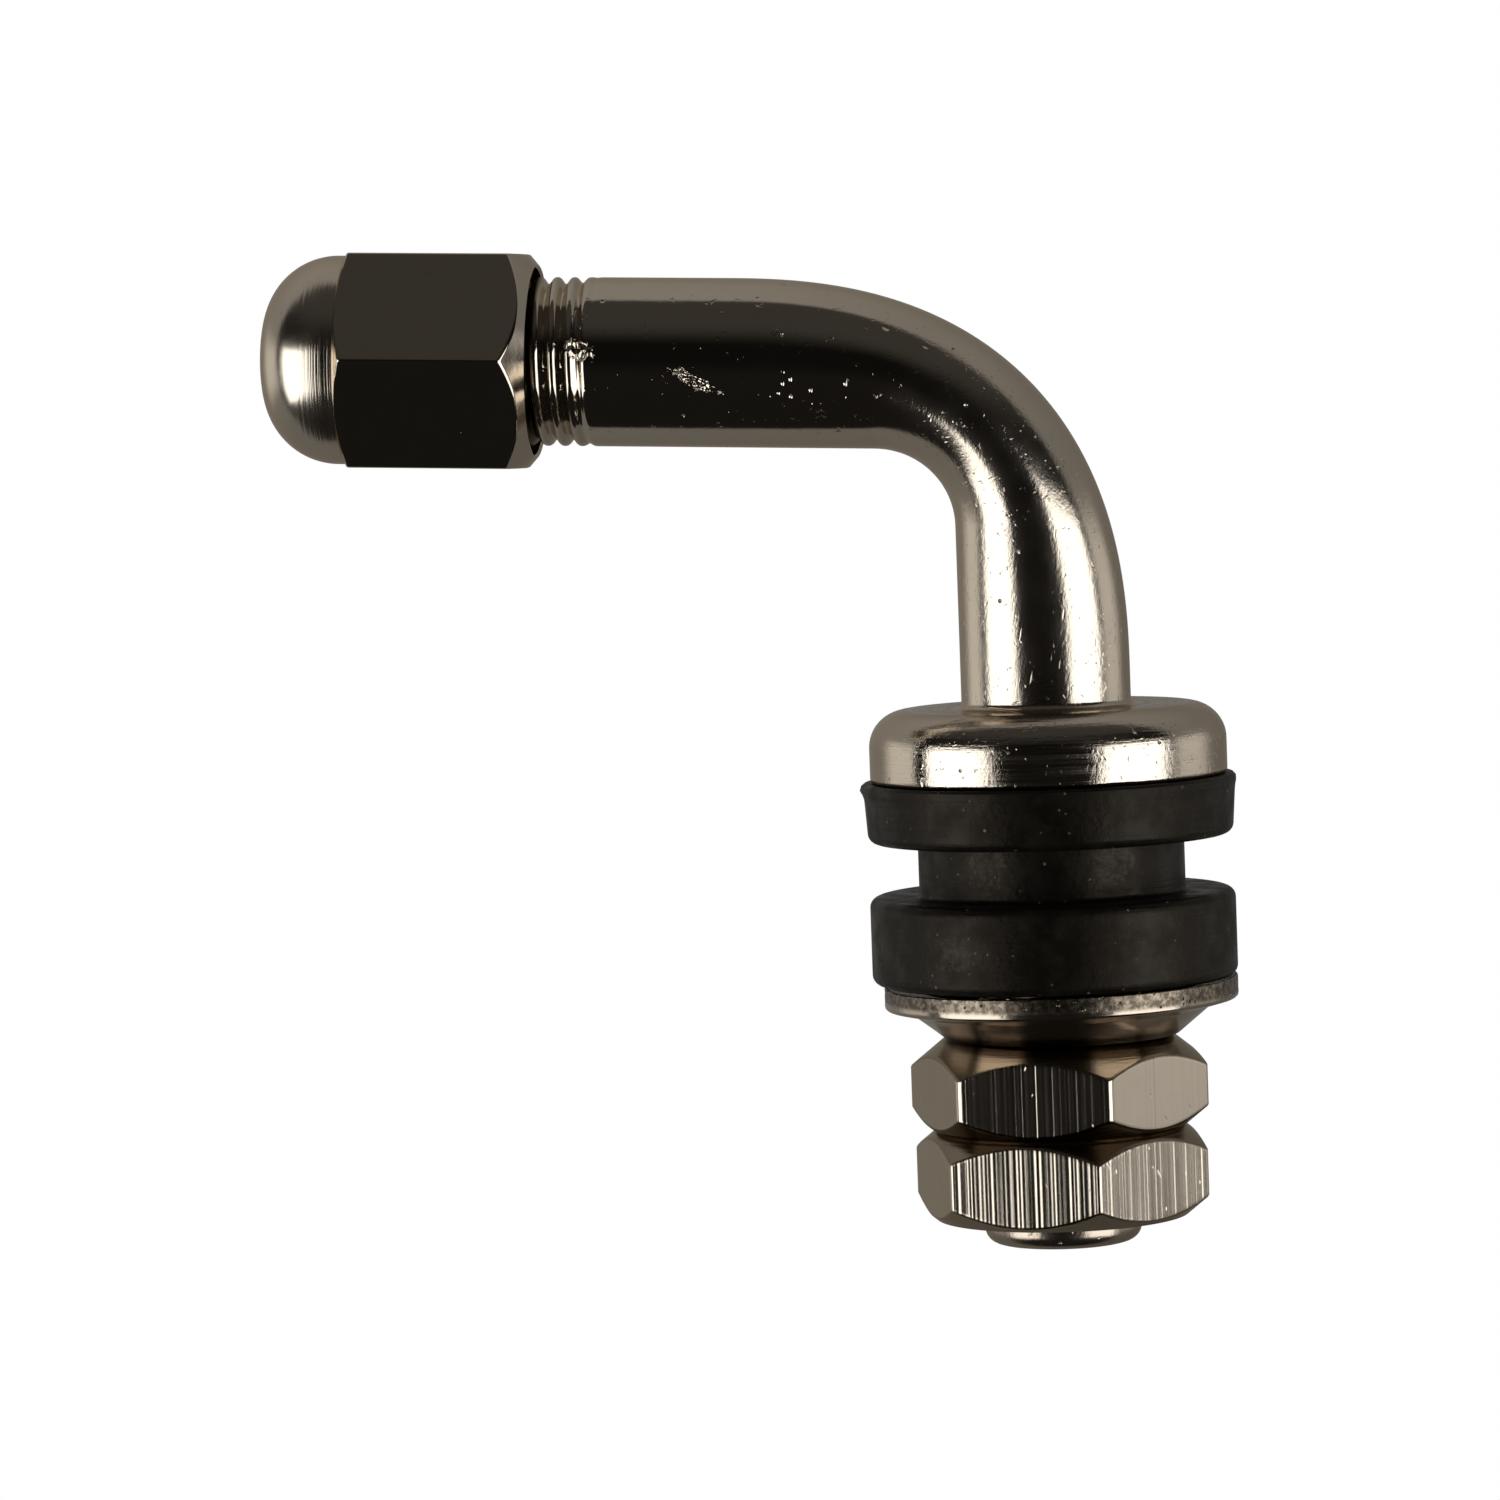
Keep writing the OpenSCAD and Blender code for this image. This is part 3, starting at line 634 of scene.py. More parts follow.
def make_washer():
    """Dished washer with a sheared, uneven rim that stands a little lower on the left."""
    rings = turned_rings(refined(washer_profile(), WASHER_STEP), WASHER_SIDES)
    radius = np.hypot(rings[..., 0], rings[..., 1])
    random = np.random.default_rng(TORN_SEED)
    sheared = smooth_step(WASHER_R - TORN_ROOT, WASHER_R - WASHER_TOP_BEVEL, radius)
    sheared = sheared * smooth_step(TORN_FROM, TORN_TO, rings[..., 2])
    torn = random.normal(-TORN_IN, TORN_SPREAD, radius.shape) * sheared
    rings[..., :2] *= (1 + torn / radius)[..., None]
    rings[..., 2] += random.normal(0, TORN_LIFT, radius.shape) * sheared
    bent = smooth_step(WASHER_SEAT_R, WASHER_R, radius) * math.tan(WASHER_BEND)
    rings[..., 2] += (rings[..., 0] - WASHER_R) * bent
    rings[..., 0] += WASHER_X
    return rings_object("washer_dish", rings)


def grommet_profile():
    """Half section of the grommet without its flash lip."""
    e, groove, fillet = GROMMET_EDGE_R, GROOVE_H / 2, NECK_FILLET_R
    profile = [(GROMMET_HOLE_R, FLANGE_LOW), (GROMMET_TOP_R - GROMMET_TOP_BEVEL_R, FLANGE_LOW)]
    profile += [(GROMMET_TOP_R, FLANGE_LOW - GROMMET_TOP_BEVEL_H)]
    profile += arc(GROMMET_TOP_R - GROMMET_DRAFT - e, groove + e, e, 0, -90, steps=6)
    profile += arc(NECK_R + fillet, groove - fillet, fillet, 90, 180, steps=4)
    profile += arc(NECK_R + fillet, fillet - groove, fillet, 180, 270, steps=4)
    profile += arc(GROMMET_LOW_R - e, -groove - e, e, 90, 0, steps=6)
    profile += arc(GROMMET_LOW_R - e, WASHER_TOP + e, e, 0, -90, steps=6)
    return profile + [(GROMMET_HOLE_R, WASHER_TOP)]


def make_grommet():
    """Moulded grommet: two flanges, the groove between them and a thin flash lip near its top."""
    rings = turned_rings(refined(grommet_profile(), GROMMET_STEP), GROMMET_SIDES)
    radius = np.hypot(rings[..., 0], rings[..., 1])
    angle = np.arctan2(rings[..., 1], rings[..., 0])
    ragged = 0.35 + 0.25 * np.cos(3 * angle + 1) + 0.2 * np.cos(7 * angle)
    bead = np.exp(-((np.abs(angle) - math.pi) / FLASH_BEAD_ANGLE) ** 2)
    edge = np.exp(-((rings[..., 2] - FLANGE_LOW + FLASH_DROP) / FLASH_HALF_H) ** 2)
    edge = edge * (radius > GROMMET_TOP_R - FLASH_ROOT)
    lip = FLASH_LIP * np.clip(ragged * FLASH_RAGGED_SHARE + bead, 0, FLASH_MOST) * edge
    rings[..., :2] *= (1 + lip / radius)[..., None]
    return rings_object("grommet_rubber", rings)


def make_spring():
    """Coil between the pin's collar and the floor of the barrel."""
    steps = SPRING_STEPS * SPRING_TURNS
    around = np.arange(SPRING_SIDES) * 2 * math.pi / SPRING_SIDES
    r = SPRING_MEAN_R + SPRING_WIRE_R * np.cos(around)
    rings = []
    for i in range(steps + 1):
        turn = 2 * math.pi * i / SPRING_STEPS
        out = ARM_LEN - (SPRING_TOP + (SPRING_LOW - SPRING_TOP) * i / steps)
        rings.append(np.column_stack([
            r * math.cos(turn), -r * math.sin(turn), out + SPRING_WIRE_R * np.sin(around)]))
    return rings_object("spring_coil", to_arm(np.array(rings)), fans=True)


# Materials

NOISE_RANGE = (0.3, 0.7)
ROUND_SLANT = 0.7
SCRATCH_SHAPE, SCRATCH_SIZE = 0.09, 0.3
SPOT_CORE = 0.35
RAGGED_NOISE, RAGGED_EDGE = (-0.55, 0.35), (0.25, 0.7)


class Paint:
    """One material: short helpers that add nodes and return their output sockets."""

    def __init__(self, name, metallic):
        self.material = bpy.data.materials.new(name)
        self.material.use_nodes = True
        self.tree = self.material.node_tree
        self.shader = next(node for node in self.tree.nodes if node.type == "BSDF_PRINCIPLED")
        self.shader.inputs["Metallic"].default_value = metallic
        self.coords = self.node("ShaderNodeTexCoord").outputs["Object"]
        self.heights = []

    def node(self, kind, inputs=None, **settings):
        """New node: settings are its properties, inputs are sockets to link or constants to set."""
        node = self.tree.nodes.new(kind)
        for key, value in settings.items():
            setattr(node, key, value)
        for key, value in (inputs or {}).items():
            if isinstance(value, bpy.types.NodeSocket):
                self.tree.links.new(value, node.inputs[key])
            else:
                node.inputs[key].default_value = value
        return node

    def place(self, scale=1, turn=(0, 0, 0), centre=(0, 0, 0)):
        """The surface's own place in millimetres from a centre, turned and then scaled, evenly or by axis."""
        inputs = {
            "Vector": self.coords, "Location": [c * MM for c in centre], "Rotation": turn,
            "Scale": [MM / s for s in np.broadcast_to(scale, 3)],
        }
        return self.node("ShaderNodeMapping", inputs, vector_type="TEXTURE").outputs["Vector"]

    def axes(self):
        """The place in millimetres as three numbers."""
        parts = self.node("ShaderNodeSeparateXYZ", {"Vector": self.place()})
        return [parts.outputs[axis] for axis in "XYZ"]

    def calc(self, operation, a, b=0.0):
        """One number from one or two others."""
        return self.node("ShaderNodeMath", {0: a, 1: b}, operation=operation).outputs["Value"]

    def times(self, *values):
        return reduce(partial(self.calc, "MULTIPLY"), values)

    def total(self, *values):
        return reduce(partial(self.calc, "ADD"), values)

    def most(self, *values):
        return reduce(partial(self.calc, "MAXIMUM"), values)

    def ramp(self, value, low, high, to_low=0.0, to_high=1.0):
        """Smooth step from one value at low to another at high; low may lie above high."""
        if low > high:
            low, high, to_low, to_high = high, low, to_high, to_low
        inputs = {"Value": value, "From Min": low, "From Max": high, "To Min": to_low, "To Max": to_high}
        node = self.node("ShaderNodeMapRange", inputs, interpolation_type="SMOOTHSTEP")
        return node.outputs["Result"]

    def noise(self, place, scale, detail=3.0, roughness=0.5):
        """Soft random clouds; scale is in clouds per millimetre of the place."""
        inputs = {"Vector": place, "Scale": scale, "Detail": detail, "Roughness": roughness}
        return self.node("ShaderNodeTexNoise", inputs).outputs["Fac"]

    def spread(self, noise, low, high):
        """A noise's usual range, stretched from low to high."""
        return self.ramp(noise, *NOISE_RANGE, low, high)

    def round_place(self, radial, level, around, centre_x=0.0):
        """Radius, height and a place for turning lines about the base's axis."""
        x, y, z = self.axes()
        x = self.calc("SUBTRACT", x, centre_x)
        radius = self.calc("SQRT", self.total(self.times(x, x), self.times(y, y)))
        slow = self.times(self.total(x, self.times(y, ROUND_SLANT)), around)
        inputs = {"X": self.times(radius, radial), "Y": self.times(z, level), "Z": slow}
        return radius, z, self.node("ShaderNodeCombineXYZ", inputs).outputs["Vector"]

    def pits(self, scale, share, size, turn=(0, 0, 0)):
        """Pits in a share of the cells of a random pattern, 1 in their middle."""
        cells = self.node("ShaderNodeTexVoronoi", {"Vector": self.place(scale, turn), "Scale": 1.0})
        pick = self.node("ShaderNodeSeparateColor", {"Color": cells.outputs["Color"]}).outputs["Red"]
        chosen = self.calc("LESS_THAN", pick, share)
        return self.times(chosen, self.ramp(cells.outputs["Distance"], size, 0.0))

    def scratches(self, turn, share=0.07, fine=5.0):
        """Short thin scratches along the third axis of a turned pattern."""
        return self.pits((fine, fine, fine * SCRATCH_SHAPE), share, SCRATCH_SIZE, turn)

    def spot(self, centre, size, turn):
        """Soft mask of an ellipsoid, 1 in its middle."""
        local = self.place([1 / s for s in size], (0, turn, 0), centre)
        length = self.node("ShaderNodeVectorMath", {0: local}, operation="LENGTH").outputs["Value"]
        return self.ramp(length, 1.0, SPOT_CORE)

    def ragged(self, mask):
        """The mask with an uneven, broken edge."""
        uneven = self.spread(self.noise(self.place(), 2.0, 4, 0.6), *RAGGED_NOISE)
        return self.ramp(self.total(mask, uneven), *RAGGED_EDGE)

    def raise_by(self, millimetres, *heights):
        """Add relief: heights from 0 to 1, multiplied, times a size in millimetres."""
        self.heights.append(self.times(*heights, millimetres))

    def tint(self, share, dark, light):
        """Colour between two shades, each a colour or a socket."""
        shades = [c if isinstance(c, bpy.types.NodeSocket) else (*c, 1) for c in (dark, light)]
        node = self.node("ShaderNodeMix", {0: share, 6: shades[0], 7: shades[1]}, data_type="RGBA")
        return node.outputs[2]

    def done(self, colour, roughness):
        """Link colour, roughness and all the relief to the shader."""
        self.tree.links.new(colour, self.shader.inputs["Base Color"])
        self.tree.links.new(roughness, self.shader.inputs["Roughness"])
        if self.heights:
            inputs = {"Height": self.total(*self.heights), "Strength": 1.0, "Distance": MM}
            bump = self.node("ShaderNodeBump", inputs)
            self.tree.links.new(bump.outputs["Normal"], self.shader.inputs["Normal"])
        return self.material

    def show(self, surface):
        """Use another shader's output as the surface."""
        out = next(node for node in self.tree.nodes if node.type == "OUTPUT_MATERIAL")
        self.tree.links.new(surface, out.inputs["Surface"])
        return self.material

    def glow(self, colour, strength):
        """Shader of a surface that gives light."""
        return self.node("ShaderNodeEmission", {"Color": (*colour, 1), "Strength": strength}).outputs[0]


NICKEL, NICKEL_DULL = (0.66, 0.59, 0.495), (0.62, 0.55, 0.455)
NUT_LIGHT, NUT_DULL = (0.65, 0.58, 0.485), (0.58, 0.51, 0.42)
SHEET_METAL = (0.5, 0.43, 0.35)
SHEARED_LIGHT, SHEARED_DARK = (0.3, 0.255, 0.2), (0.1, 0.08, 0.058)
# The first colour below is near black, painted as shade: in the cap's mouth, between the nuts and at the foot
# of the washer's dish.
PAINTED_SHADE_COLOUR, GRIME, TARNISH = (0.05, 0.036, 0.022), (0.3, 0.235, 0.175), (0.35, 0.29, 0.22)
EDGE_TINT = (0.84, 0.78, 0.7)
# The last colour below is added for pale dust and for the patches of painted sheen.
RUBBER_TINT, RUBBER_HUE, DUST_AND_SHEEN_HUE = (1.0, 0.85, 0.68), (1, 0.85, 0.62), (0.4, 0.34, 0.27)

# Roughness of each surface, and its spread in hazy clouds
ARM_ROUGHNESS, BASE_ROUGHNESS = 0.09, 0.17
CAP_FLAT_ROUGHNESS, CAP_HEAD_ROUGHNESS = 0.09, 0.2
SHEET_ROUGHNESS, SHEARED_ROUGHNESS = 0.17, 0.3
RUBBER_ROUGHNESS, RUBBER_SHINE = (0.32, 0.52), 0.21
HAZE_LOW, HAZE_HIGH = 0.85, 1.15

# Where each change of the surface starts and ends
BEND_GRAIN_X, BEND_HAZE_X = (-9.0, -3.5), (-8.5, -3.0)
FLANGE_FACE_R = (4.2, 4.6)
FLANGE_LOW_Z, FLANGE_HIGH_Z = (FLANGE_LOW, FLANGE_LOW + 0.1), (FLANGE_TOP + 0.6, FLANGE_TOP + 0.4)
FOOT_GRIME_R, FOOT_GRIME_Z = (7.7, 5.4), (FLANGE_TOP - 0.5, FLANGE_TOP - 0.05)
TIP_DULL_Z = (SHANK_LOW + 3.35, SHANK_LOW + 2.35)
TIP_GRIME_Z = (SHANK_LOW + 2.75, SHANK_LOW + 1.95)
# Band of painted shade on the arm, from just outside the cap's mouth to inside it.
ARM_SHADE_START, ARM_SHADE_END = (CAP_MOUTH - 0.42, CAP_MOUTH - 0.2), (CAP_MOUTH + 1.2, CAP_MOUTH)
CAP_HEAD_START, CAP_RINGS_END = (CAP_HEX_END - 0.1, CAP_HEX_END), (CAP_HEX_END + 2.0, CAP_HEX_END + 1.0)
# Band of painted shade on a nut's upper chamfer, as distances out from its end face.
NUT_SHADE_FROM, NUT_SHADE_TO = 0.32, 0.08
CHAMFER_FROM, CHAMFER_TO = 0.1, 0.03
RIM_R = (WASHER_R - 0.25, WASHER_R - 0.1)
# Painted shade at the foot of the washer's dish, where it sits on the upper nut.
WASHER_SHADE_Z = (CLAMP_NUT_TOP + 0.55, CLAMP_NUT_TOP + 0.2)

# Patterns: cells or clouds per millimetre, evenly or along each axis, and turns
BEND_GRAIN, BEND_GRAIN_TURN = (5.5, 5.5, 2.5), (0.1, 0.2, 0)
STEM_SCRATCH_TURNS = ((0.1, 0.2, 0), (0.4, -0.7, 0.3), (0.2, 1.3, 0.1))
NUT_SCRATCH_TURNS = ((0.5, 0.4, 0), (0.1, -0.6, 0.2))
STEM_PITS, CAP_PITS, RIM_PITS, SPECK_PITS = 1.7, 1.5, 4.0, (3.2, 2.4, 1.8)
DUST_COARSE, DUST_FINE = 1.6, 3.5
SCRAPE_GRIT, SCRAPE_CORE_GRIT, CHIP_GRIT = (2.6, 3.6, 4.6), (3.2, 3.2, 3.6), 2.3
FLANGE_STREAKS, MOULD_STREAKS = (0.5, 0.5, 7.0), (0.25, 0.25, 6.0)


def plated(name):
    """Paint for bright plating, which is less bright at its edges."""
    paint = Paint(name, 1.0)
    paint.shader.inputs["Specular Tint"].default_value = (*EDGE_TINT, 1)
    return paint


def along_arm(paint):
    """Distance out along the arm from the base's axis."""
    inputs = {0: paint.place(), 1: tuple(ARM_OUT)}
    along = paint.node("ShaderNodeVectorMath", inputs, operation="DOT_PRODUCT")
    return paint.calc("SUBTRACT", along.outputs["Value"], ARM_Z * ARM_OUT[2])


def wear_stem(paint):
    """Scratches, pits and marks of use on the stem."""
    x, _, _ = paint.axes()
    bent = paint.ramp(x, *BEND_GRAIN_X)
    paint.raise_by(0.004, bent, paint.noise(paint.place(), 9.0, 3, 0.65))
    paint.raise_by(0.009, bent, paint.noise(paint.place(BEND_GRAIN, BEND_GRAIN_TURN), 1.0, 3, 0.6))
    for turn in STEM_SCRATCH_TURNS:
        paint.raise_by(-0.01, paint.scratches(turn, share=0.13), paint.total(bent, 0.1))
    paint.raise_by(-0.05, paint.pits(STEM_PITS, share=0.03, size=0.2))
    for mark in (SPECKS, LEFT_SPECKS, BEND_SPECKS):
        paint.raise_by(-0.07, paint.spot(*mark), paint.pits(SPECK_PITS, share=0.4, size=0.3))
    for mark, scale in ((SCRAPE, SCRAPE_GRIT), (SCRAPE_CORE, SCRAPE_CORE_GRIT), (CHIPS, CHIP_GRIT)):
        grit = paint.noise(paint.place(scale, (0, mark[2], 0)), 1.0, 1, 0.6)
        paint.raise_by(0.3, paint.ragged(paint.spot(*mark)), paint.calc("SUBTRACT", grit, 0.5))
    for centre in NICKS:
        paint.raise_by(-0.055, paint.spot(centre, NICK_SIZE, NICK_TURN))


def stem_plate():
    """Bright plating: smooth on the arm, hazier on the bend and turned on the flange; painted shade on the
    arm at the cap's mouth.
    """
    paint = plated("stem_plate")
    place = paint.place()
    x, _, _ = paint.axes()
    out = along_arm(paint)
    paint.raise_by(0.004, paint.noise(place, 1.1, 2))
    wear_stem(paint)
    radius, level, turned = paint.round_place(6.0, 6.0, 0.12)
    flange = paint.times(
        paint.ramp(radius, *FLANGE_FACE_R), paint.ramp(level, *FLANGE_LOW_Z),
        paint.ramp(level, *FLANGE_HIGH_Z))
    lines = paint.noise(turned, 1.0, 4, 0.65)
    paint.raise_by(0.012, flange, lines)
    paint.raise_by(0.012, flange, paint.noise(paint.place(FLANGE_STREAKS), 1.0, 2, 0.5))
    # Painted shade: a near-black band on the arm at the cap's mouth, which is also made rougher.
    painted_shade = paint.times(paint.ramp(out, *ARM_SHADE_START), paint.ramp(out, *ARM_SHADE_END))
    haze = paint.spread(paint.noise(place, 0.6, 4), HAZE_LOW, HAZE_HIGH)
    roughness = paint.total(
        paint.times(paint.ramp(x, *BEND_HAZE_X, ARM_ROUGHNESS, BASE_ROUGHNESS), haze),
        paint.times(flange, paint.ramp(lines, 0.38, 0.62, -0.09, 0.03)),
        paint.times(paint.ramp(level, *TIP_DULL_Z), 0.06),
        paint.times(painted_shade, 0.2))
    foot = paint.times(paint.ramp(radius, *FOOT_GRIME_R), paint.ramp(level, *FOOT_GRIME_Z), flange)
    grime = paint.most(foot, paint.times(paint.ramp(level, *TIP_GRIME_Z), 0.5))
    metal = paint.tint(paint.noise(place, 0.35, 3), NICKEL_DULL, NICKEL)
    # Near-black painted shade goes over the band at the cap's mouth.
    return paint.done(paint.tint(painted_shade, paint.tint(grime, metal, GRIME), PAINTED_SHADE_COLOUR), roughness)


def cap_plate():
    """Plating of the cap: bright flats, and turning rings round the head."""
    paint = plated("cap_plate")
    place = paint.place()
    out = along_arm(paint)
    head = paint.ramp(out, *CAP_HEAD_START)
    near = paint.ramp(out, *CAP_RINGS_END, 0.08, 1.0)
    turned = paint.node("ShaderNodeCombineXYZ", {"X": paint.times(out, 5.0)}).outputs["Vector"]
    paint.raise_by(0.05, head, near, paint.noise(turned, 1.0, 3, 0.6))
    paint.raise_by(0.003, paint.noise(place, 1.3, 2))
    paint.raise_by(0.0008, paint.noise(place, 8.0, 3, 0.6))
    paint.raise_by(-0.03, paint.pits(CAP_PITS, share=0.03, size=0.16))
    haze = paint.spread(paint.noise(place, 0.7, 4), HAZE_LOW, HAZE_HIGH)
    roughness = paint.times(paint.ramp(head, 0.0, 1.0, CAP_FLAT_ROUGHNESS, CAP_HEAD_ROUGHNESS), haze)
    return paint.done(paint.tint(paint.noise(place, 0.4, 3), NICKEL_DULL, NICKEL), roughness)


def nut_plate(nut):
    """Scratched flats, and turned, tarnished chamfers with painted shade next to other pieces."""
    paint = plated(nut.name + "_plate")
    place = paint.place()
    radius, level, turned = paint.round_place(6.0, 0.1, 0.4)
    steep = math.tan(NUT_CHAMFER)
    sloped = paint.times(radius, steep)
    upper_at, lower_at = nut.top + nut.face_r * steep, nut.seat_r * steep - nut.low
    upper = paint.ramp(paint.total(sloped, level), upper_at - CHAMFER_FROM, upper_at - CHAMFER_TO)
    lower = paint.ramp(paint.calc("SUBTRACT", sloped, level), lower_at - CHAMFER_FROM, lower_at - CHAMFER_TO)
    chamfer = paint.most(upper, lower)
    flat = paint.calc("SUBTRACT", 1.0, chamfer)
    lines = paint.noise(turned, 1.0, 4, 0.65)
    paint.raise_by(0.02, chamfer, lines)
    for turn, share, depth in zip(NUT_SCRATCH_TURNS, (0.06, 0.05), (-0.012, -0.01)):
        paint.raise_by(depth, flat, paint.scratches(turn, share, fine=4.0))
    paint.raise_by(0.0012, paint.noise(place, 9.0, 3, 0.6))
    # Painted shade: near black on the upper chamfer next to its end face, and on the upper nut's lower
    # chamfer above the lower nut.
    inner = paint.times(upper, paint.ramp(radius, nut.face_r + NUT_SHADE_FROM, nut.face_r + NUT_SHADE_TO))
    painted_shade = paint.most(inner, paint.times(lower, nut.seat_dirt))
    metal = paint.tint(paint.noise(place, 0.5, 3), NUT_DULL, NUT_LIGHT)
    roughness = paint.spread(lines, nut.roughness * HAZE_LOW, nut.roughness * HAZE_HIGH)
    return paint.done(paint.tint(painted_shade, paint.tint(chamfer, metal, TARNISH), PAINTED_SHADE_COLOUR), roughness)


def washer_plate():
    """Dull plated sheet with a grainy sheared rim."""
    paint = Paint("washer_plate", 1.0)
    radius, level, turned = paint.round_place(7.0, 7.0, 0.15, WASHER_X)
    rim = paint.times(paint.ramp(radius, *RIM_R), paint.ramp(level, TORN_FROM, TORN_TO))
    grain = paint.noise(paint.place(), 3.5, 5, 0.65)
    paint.raise_by(0.018, rim, grain)
    paint.raise_by(-0.06, rim, paint.pits(RIM_PITS, share=0.18, size=0.35))
    paint.raise_by(0.004, paint.noise(turned, 1.0, 3, 0.6))
    roughness = paint.ramp(rim, 0.0, 1.0, SHEET_ROUGHNESS, SHEARED_ROUGHNESS)
    sheared = paint.tint(paint.ramp(grain, 0.4, 0.65), SHEARED_DARK, SHEARED_LIGHT)
    # Painted shade: near black at the foot of the dish, on the upper nut.
    painted_shade = paint.ramp(level, *WASHER_SHADE_Z)
    return paint.done(paint.tint(painted_shade, paint.tint(rim, SHEET_METAL, sheared), PAINTED_SHADE_COLOUR), roughness)


def black_rubber(name, base):
    """Moulded rubber with faint moulding streaks, blotches, sparse pale dust and pale mottled patches of
    painted sheen.
    """
    paint = Paint(name, 0.0)
    place = paint.place()
    paint.shader.inputs["Specular IOR Level"].default_value = RUBBER_SHINE
    paint.shader.inputs["Specular Tint"].default_value = (*RUBBER_TINT, 1)
    paint.raise_by(0.025, paint.noise(paint.place(MOULD_STREAKS), 1.0, 3, 0.6))
    paint.raise_by(0.025, paint.noise(place, 3.0, 4, 0.6))
    dust = paint.pits(DUST_COARSE, share=0.06, size=0.17)
    dust = paint.most(dust, paint.times(paint.pits(DUST_FINE, share=0.05, size=0.3), 0.6))
    bloom = paint.ramp(paint.noise(place, 0.9, 6, 0.65), 0.5, 0.8, 0.0, 0.025)
    pale = paint.most(paint.times(dust, 0.8), bloom)
    # Painted sheen: pale mottled patches where the side lights' highlights fall.
    for mark in SHEEN_PATCHES:
        patchy = paint.ramp(paint.noise(place, 4.0, 4, 0.7), 0.4, 0.65)
        pale = paint.most(pale, paint.times(paint.ragged(paint.spot(*mark)), patchy, 0.09))
    black, dust_and_sheen = [base * hue for hue in RUBBER_HUE], [base + hue for hue in DUST_AND_SHEEN_HUE]
    roughness = paint.spread(paint.noise(place, 0.8, 5), *RUBBER_ROUGHNESS)
    return paint.done(paint.tint(pale, black, dust_and_sheen), roughness)


def plain_surface(name, metallic, dark, light, roughness, scale):
    """Surface of an inner piece: two shades and a roughness that vary in soft clouds."""
    paint = Paint(name, metallic)
    place = paint.place()
    paint.raise_by(0.003, paint.noise(place, scale * 4, 3, 0.6))
    cloud = paint.spread(paint.noise(place, scale, 4), *roughness)
    return paint.done(paint.tint(paint.noise(place, scale * 0.6, 4), dark, light), cloud)


# Studio

STUDIO_CENTRE = Vector((-0.013, 0, 0.006))
LEFT_SOFTBOX, RIGHT_SOFTBOX = -57.5, 61.5
SOFTBOX_ELEVATION = -8.5
SOFTBOX_DISTANCE = 0.4
SOFTBOX_SIZE = (0.34, 0.325)
SOFTBOX_RADIANCE = 2.2
WALL_RADIUS = 0.55
WALL_SIDE, WALL_BEHIND, WALL_BELOW = 0.72, 0.25, 0.16
WALL_ABOVE, WALL_DARK, WALL_DARKEST = 0.045, 0.011, 0.006
WHITE, PALE_WARM, WARM = (1, 1, 1), (1.0, 0.97, 0.92), (1.0, 0.94, 0.87)
FLOOR_SIZE, FLOOR_LEVEL = 6.0, -0.8
FLOOR_DULL, FLOOR_LIGHT, FLOOR_ROUGHNESS = (0.8, 0.8, 0.8), (0.86, 0.86, 0.86), (0.85, 0.95)
WORLD_LIGHT = 0.3

# Zones of the wall as shares of its radius: X to the right, Y away from the camera's side and Z up
BACK_EDGE_Y = (0.0, 0.09)
LOW_EDGE_Z, LOW_EDGE_BACK = (-0.6, -0.95), 0.15
BACK_RISE_Z = (-0.7, 0.3)
BACK_LEAN_X, BACK_LEFT, BACK_RIGHT = (-0.4, 0.4), 1.15, 0.85
SIDE_Y, SIDE_Z = (0.7, 0.42), (0.32, 0.1)
FRONT_DARK_Z, ABOVE_Z = (-0.3, 0.1), (0.42, 0.85)


def direction(azimuth, elevation):
    """Unit vector, azimuth 0 towards the camera's side and growing to the right."""
    a, e = math.radians(azimuth), math.radians(elevation)
    return Vector((math.sin(a) * math.cos(e), -math.cos(a) * math.cos(e), math.sin(e)))


def make_camera():
    """Camera that shows the object as the photo does."""
    back = direction(VIEW_AZIMUTH, VIEW_ELEVATION)
    level = direction(VIEW_AZIMUTH + 90, 0)
    rise = back.cross(level)
    roll = math.radians(VIEW_ROLL)
    right = level * math.cos(roll) + rise * math.sin(roll)
    camera = add_object("camera", bpy.data.cameras.new("camera"))
    turn = Matrix((right, back.cross(right), back)).transposed().to_4x4()
    camera.matrix_world = Matrix.Translation((Vector(LOOK_AT) + back * VIEW_DISTANCE) * MM) @ turn
    camera.data.sensor_width = SENSOR_WIDTH
    camera.data.lens = VIEW_FOCAL * SENSOR_WIDTH
    camera.data.clip_start = CLIP_START
    camera.data.clip_end = CLIP_END
    bpy.context.scene.camera = camera


def make_softbox(name, azimuth):
    """Soft rectangular light on one side of the camera."""
    light = bpy.data.lights.new(name, "AREA")
    light.shape = "RECTANGLE"
    light.size, light.size_y = SOFTBOX_SIZE
    light.energy = math.pi * SOFTBOX_SIZE[0] * SOFTBOX_SIZE[1] * SOFTBOX_RADIANCE
    box = add_object(name, light)
    towards = direction(azimuth, SOFTBOX_ELEVATION)
    box.location = STUDIO_CENTRE + towards * SOFTBOX_DISTANCE
    box.rotation_euler = towards.to_track_quat("Z", "Y").to_euler()


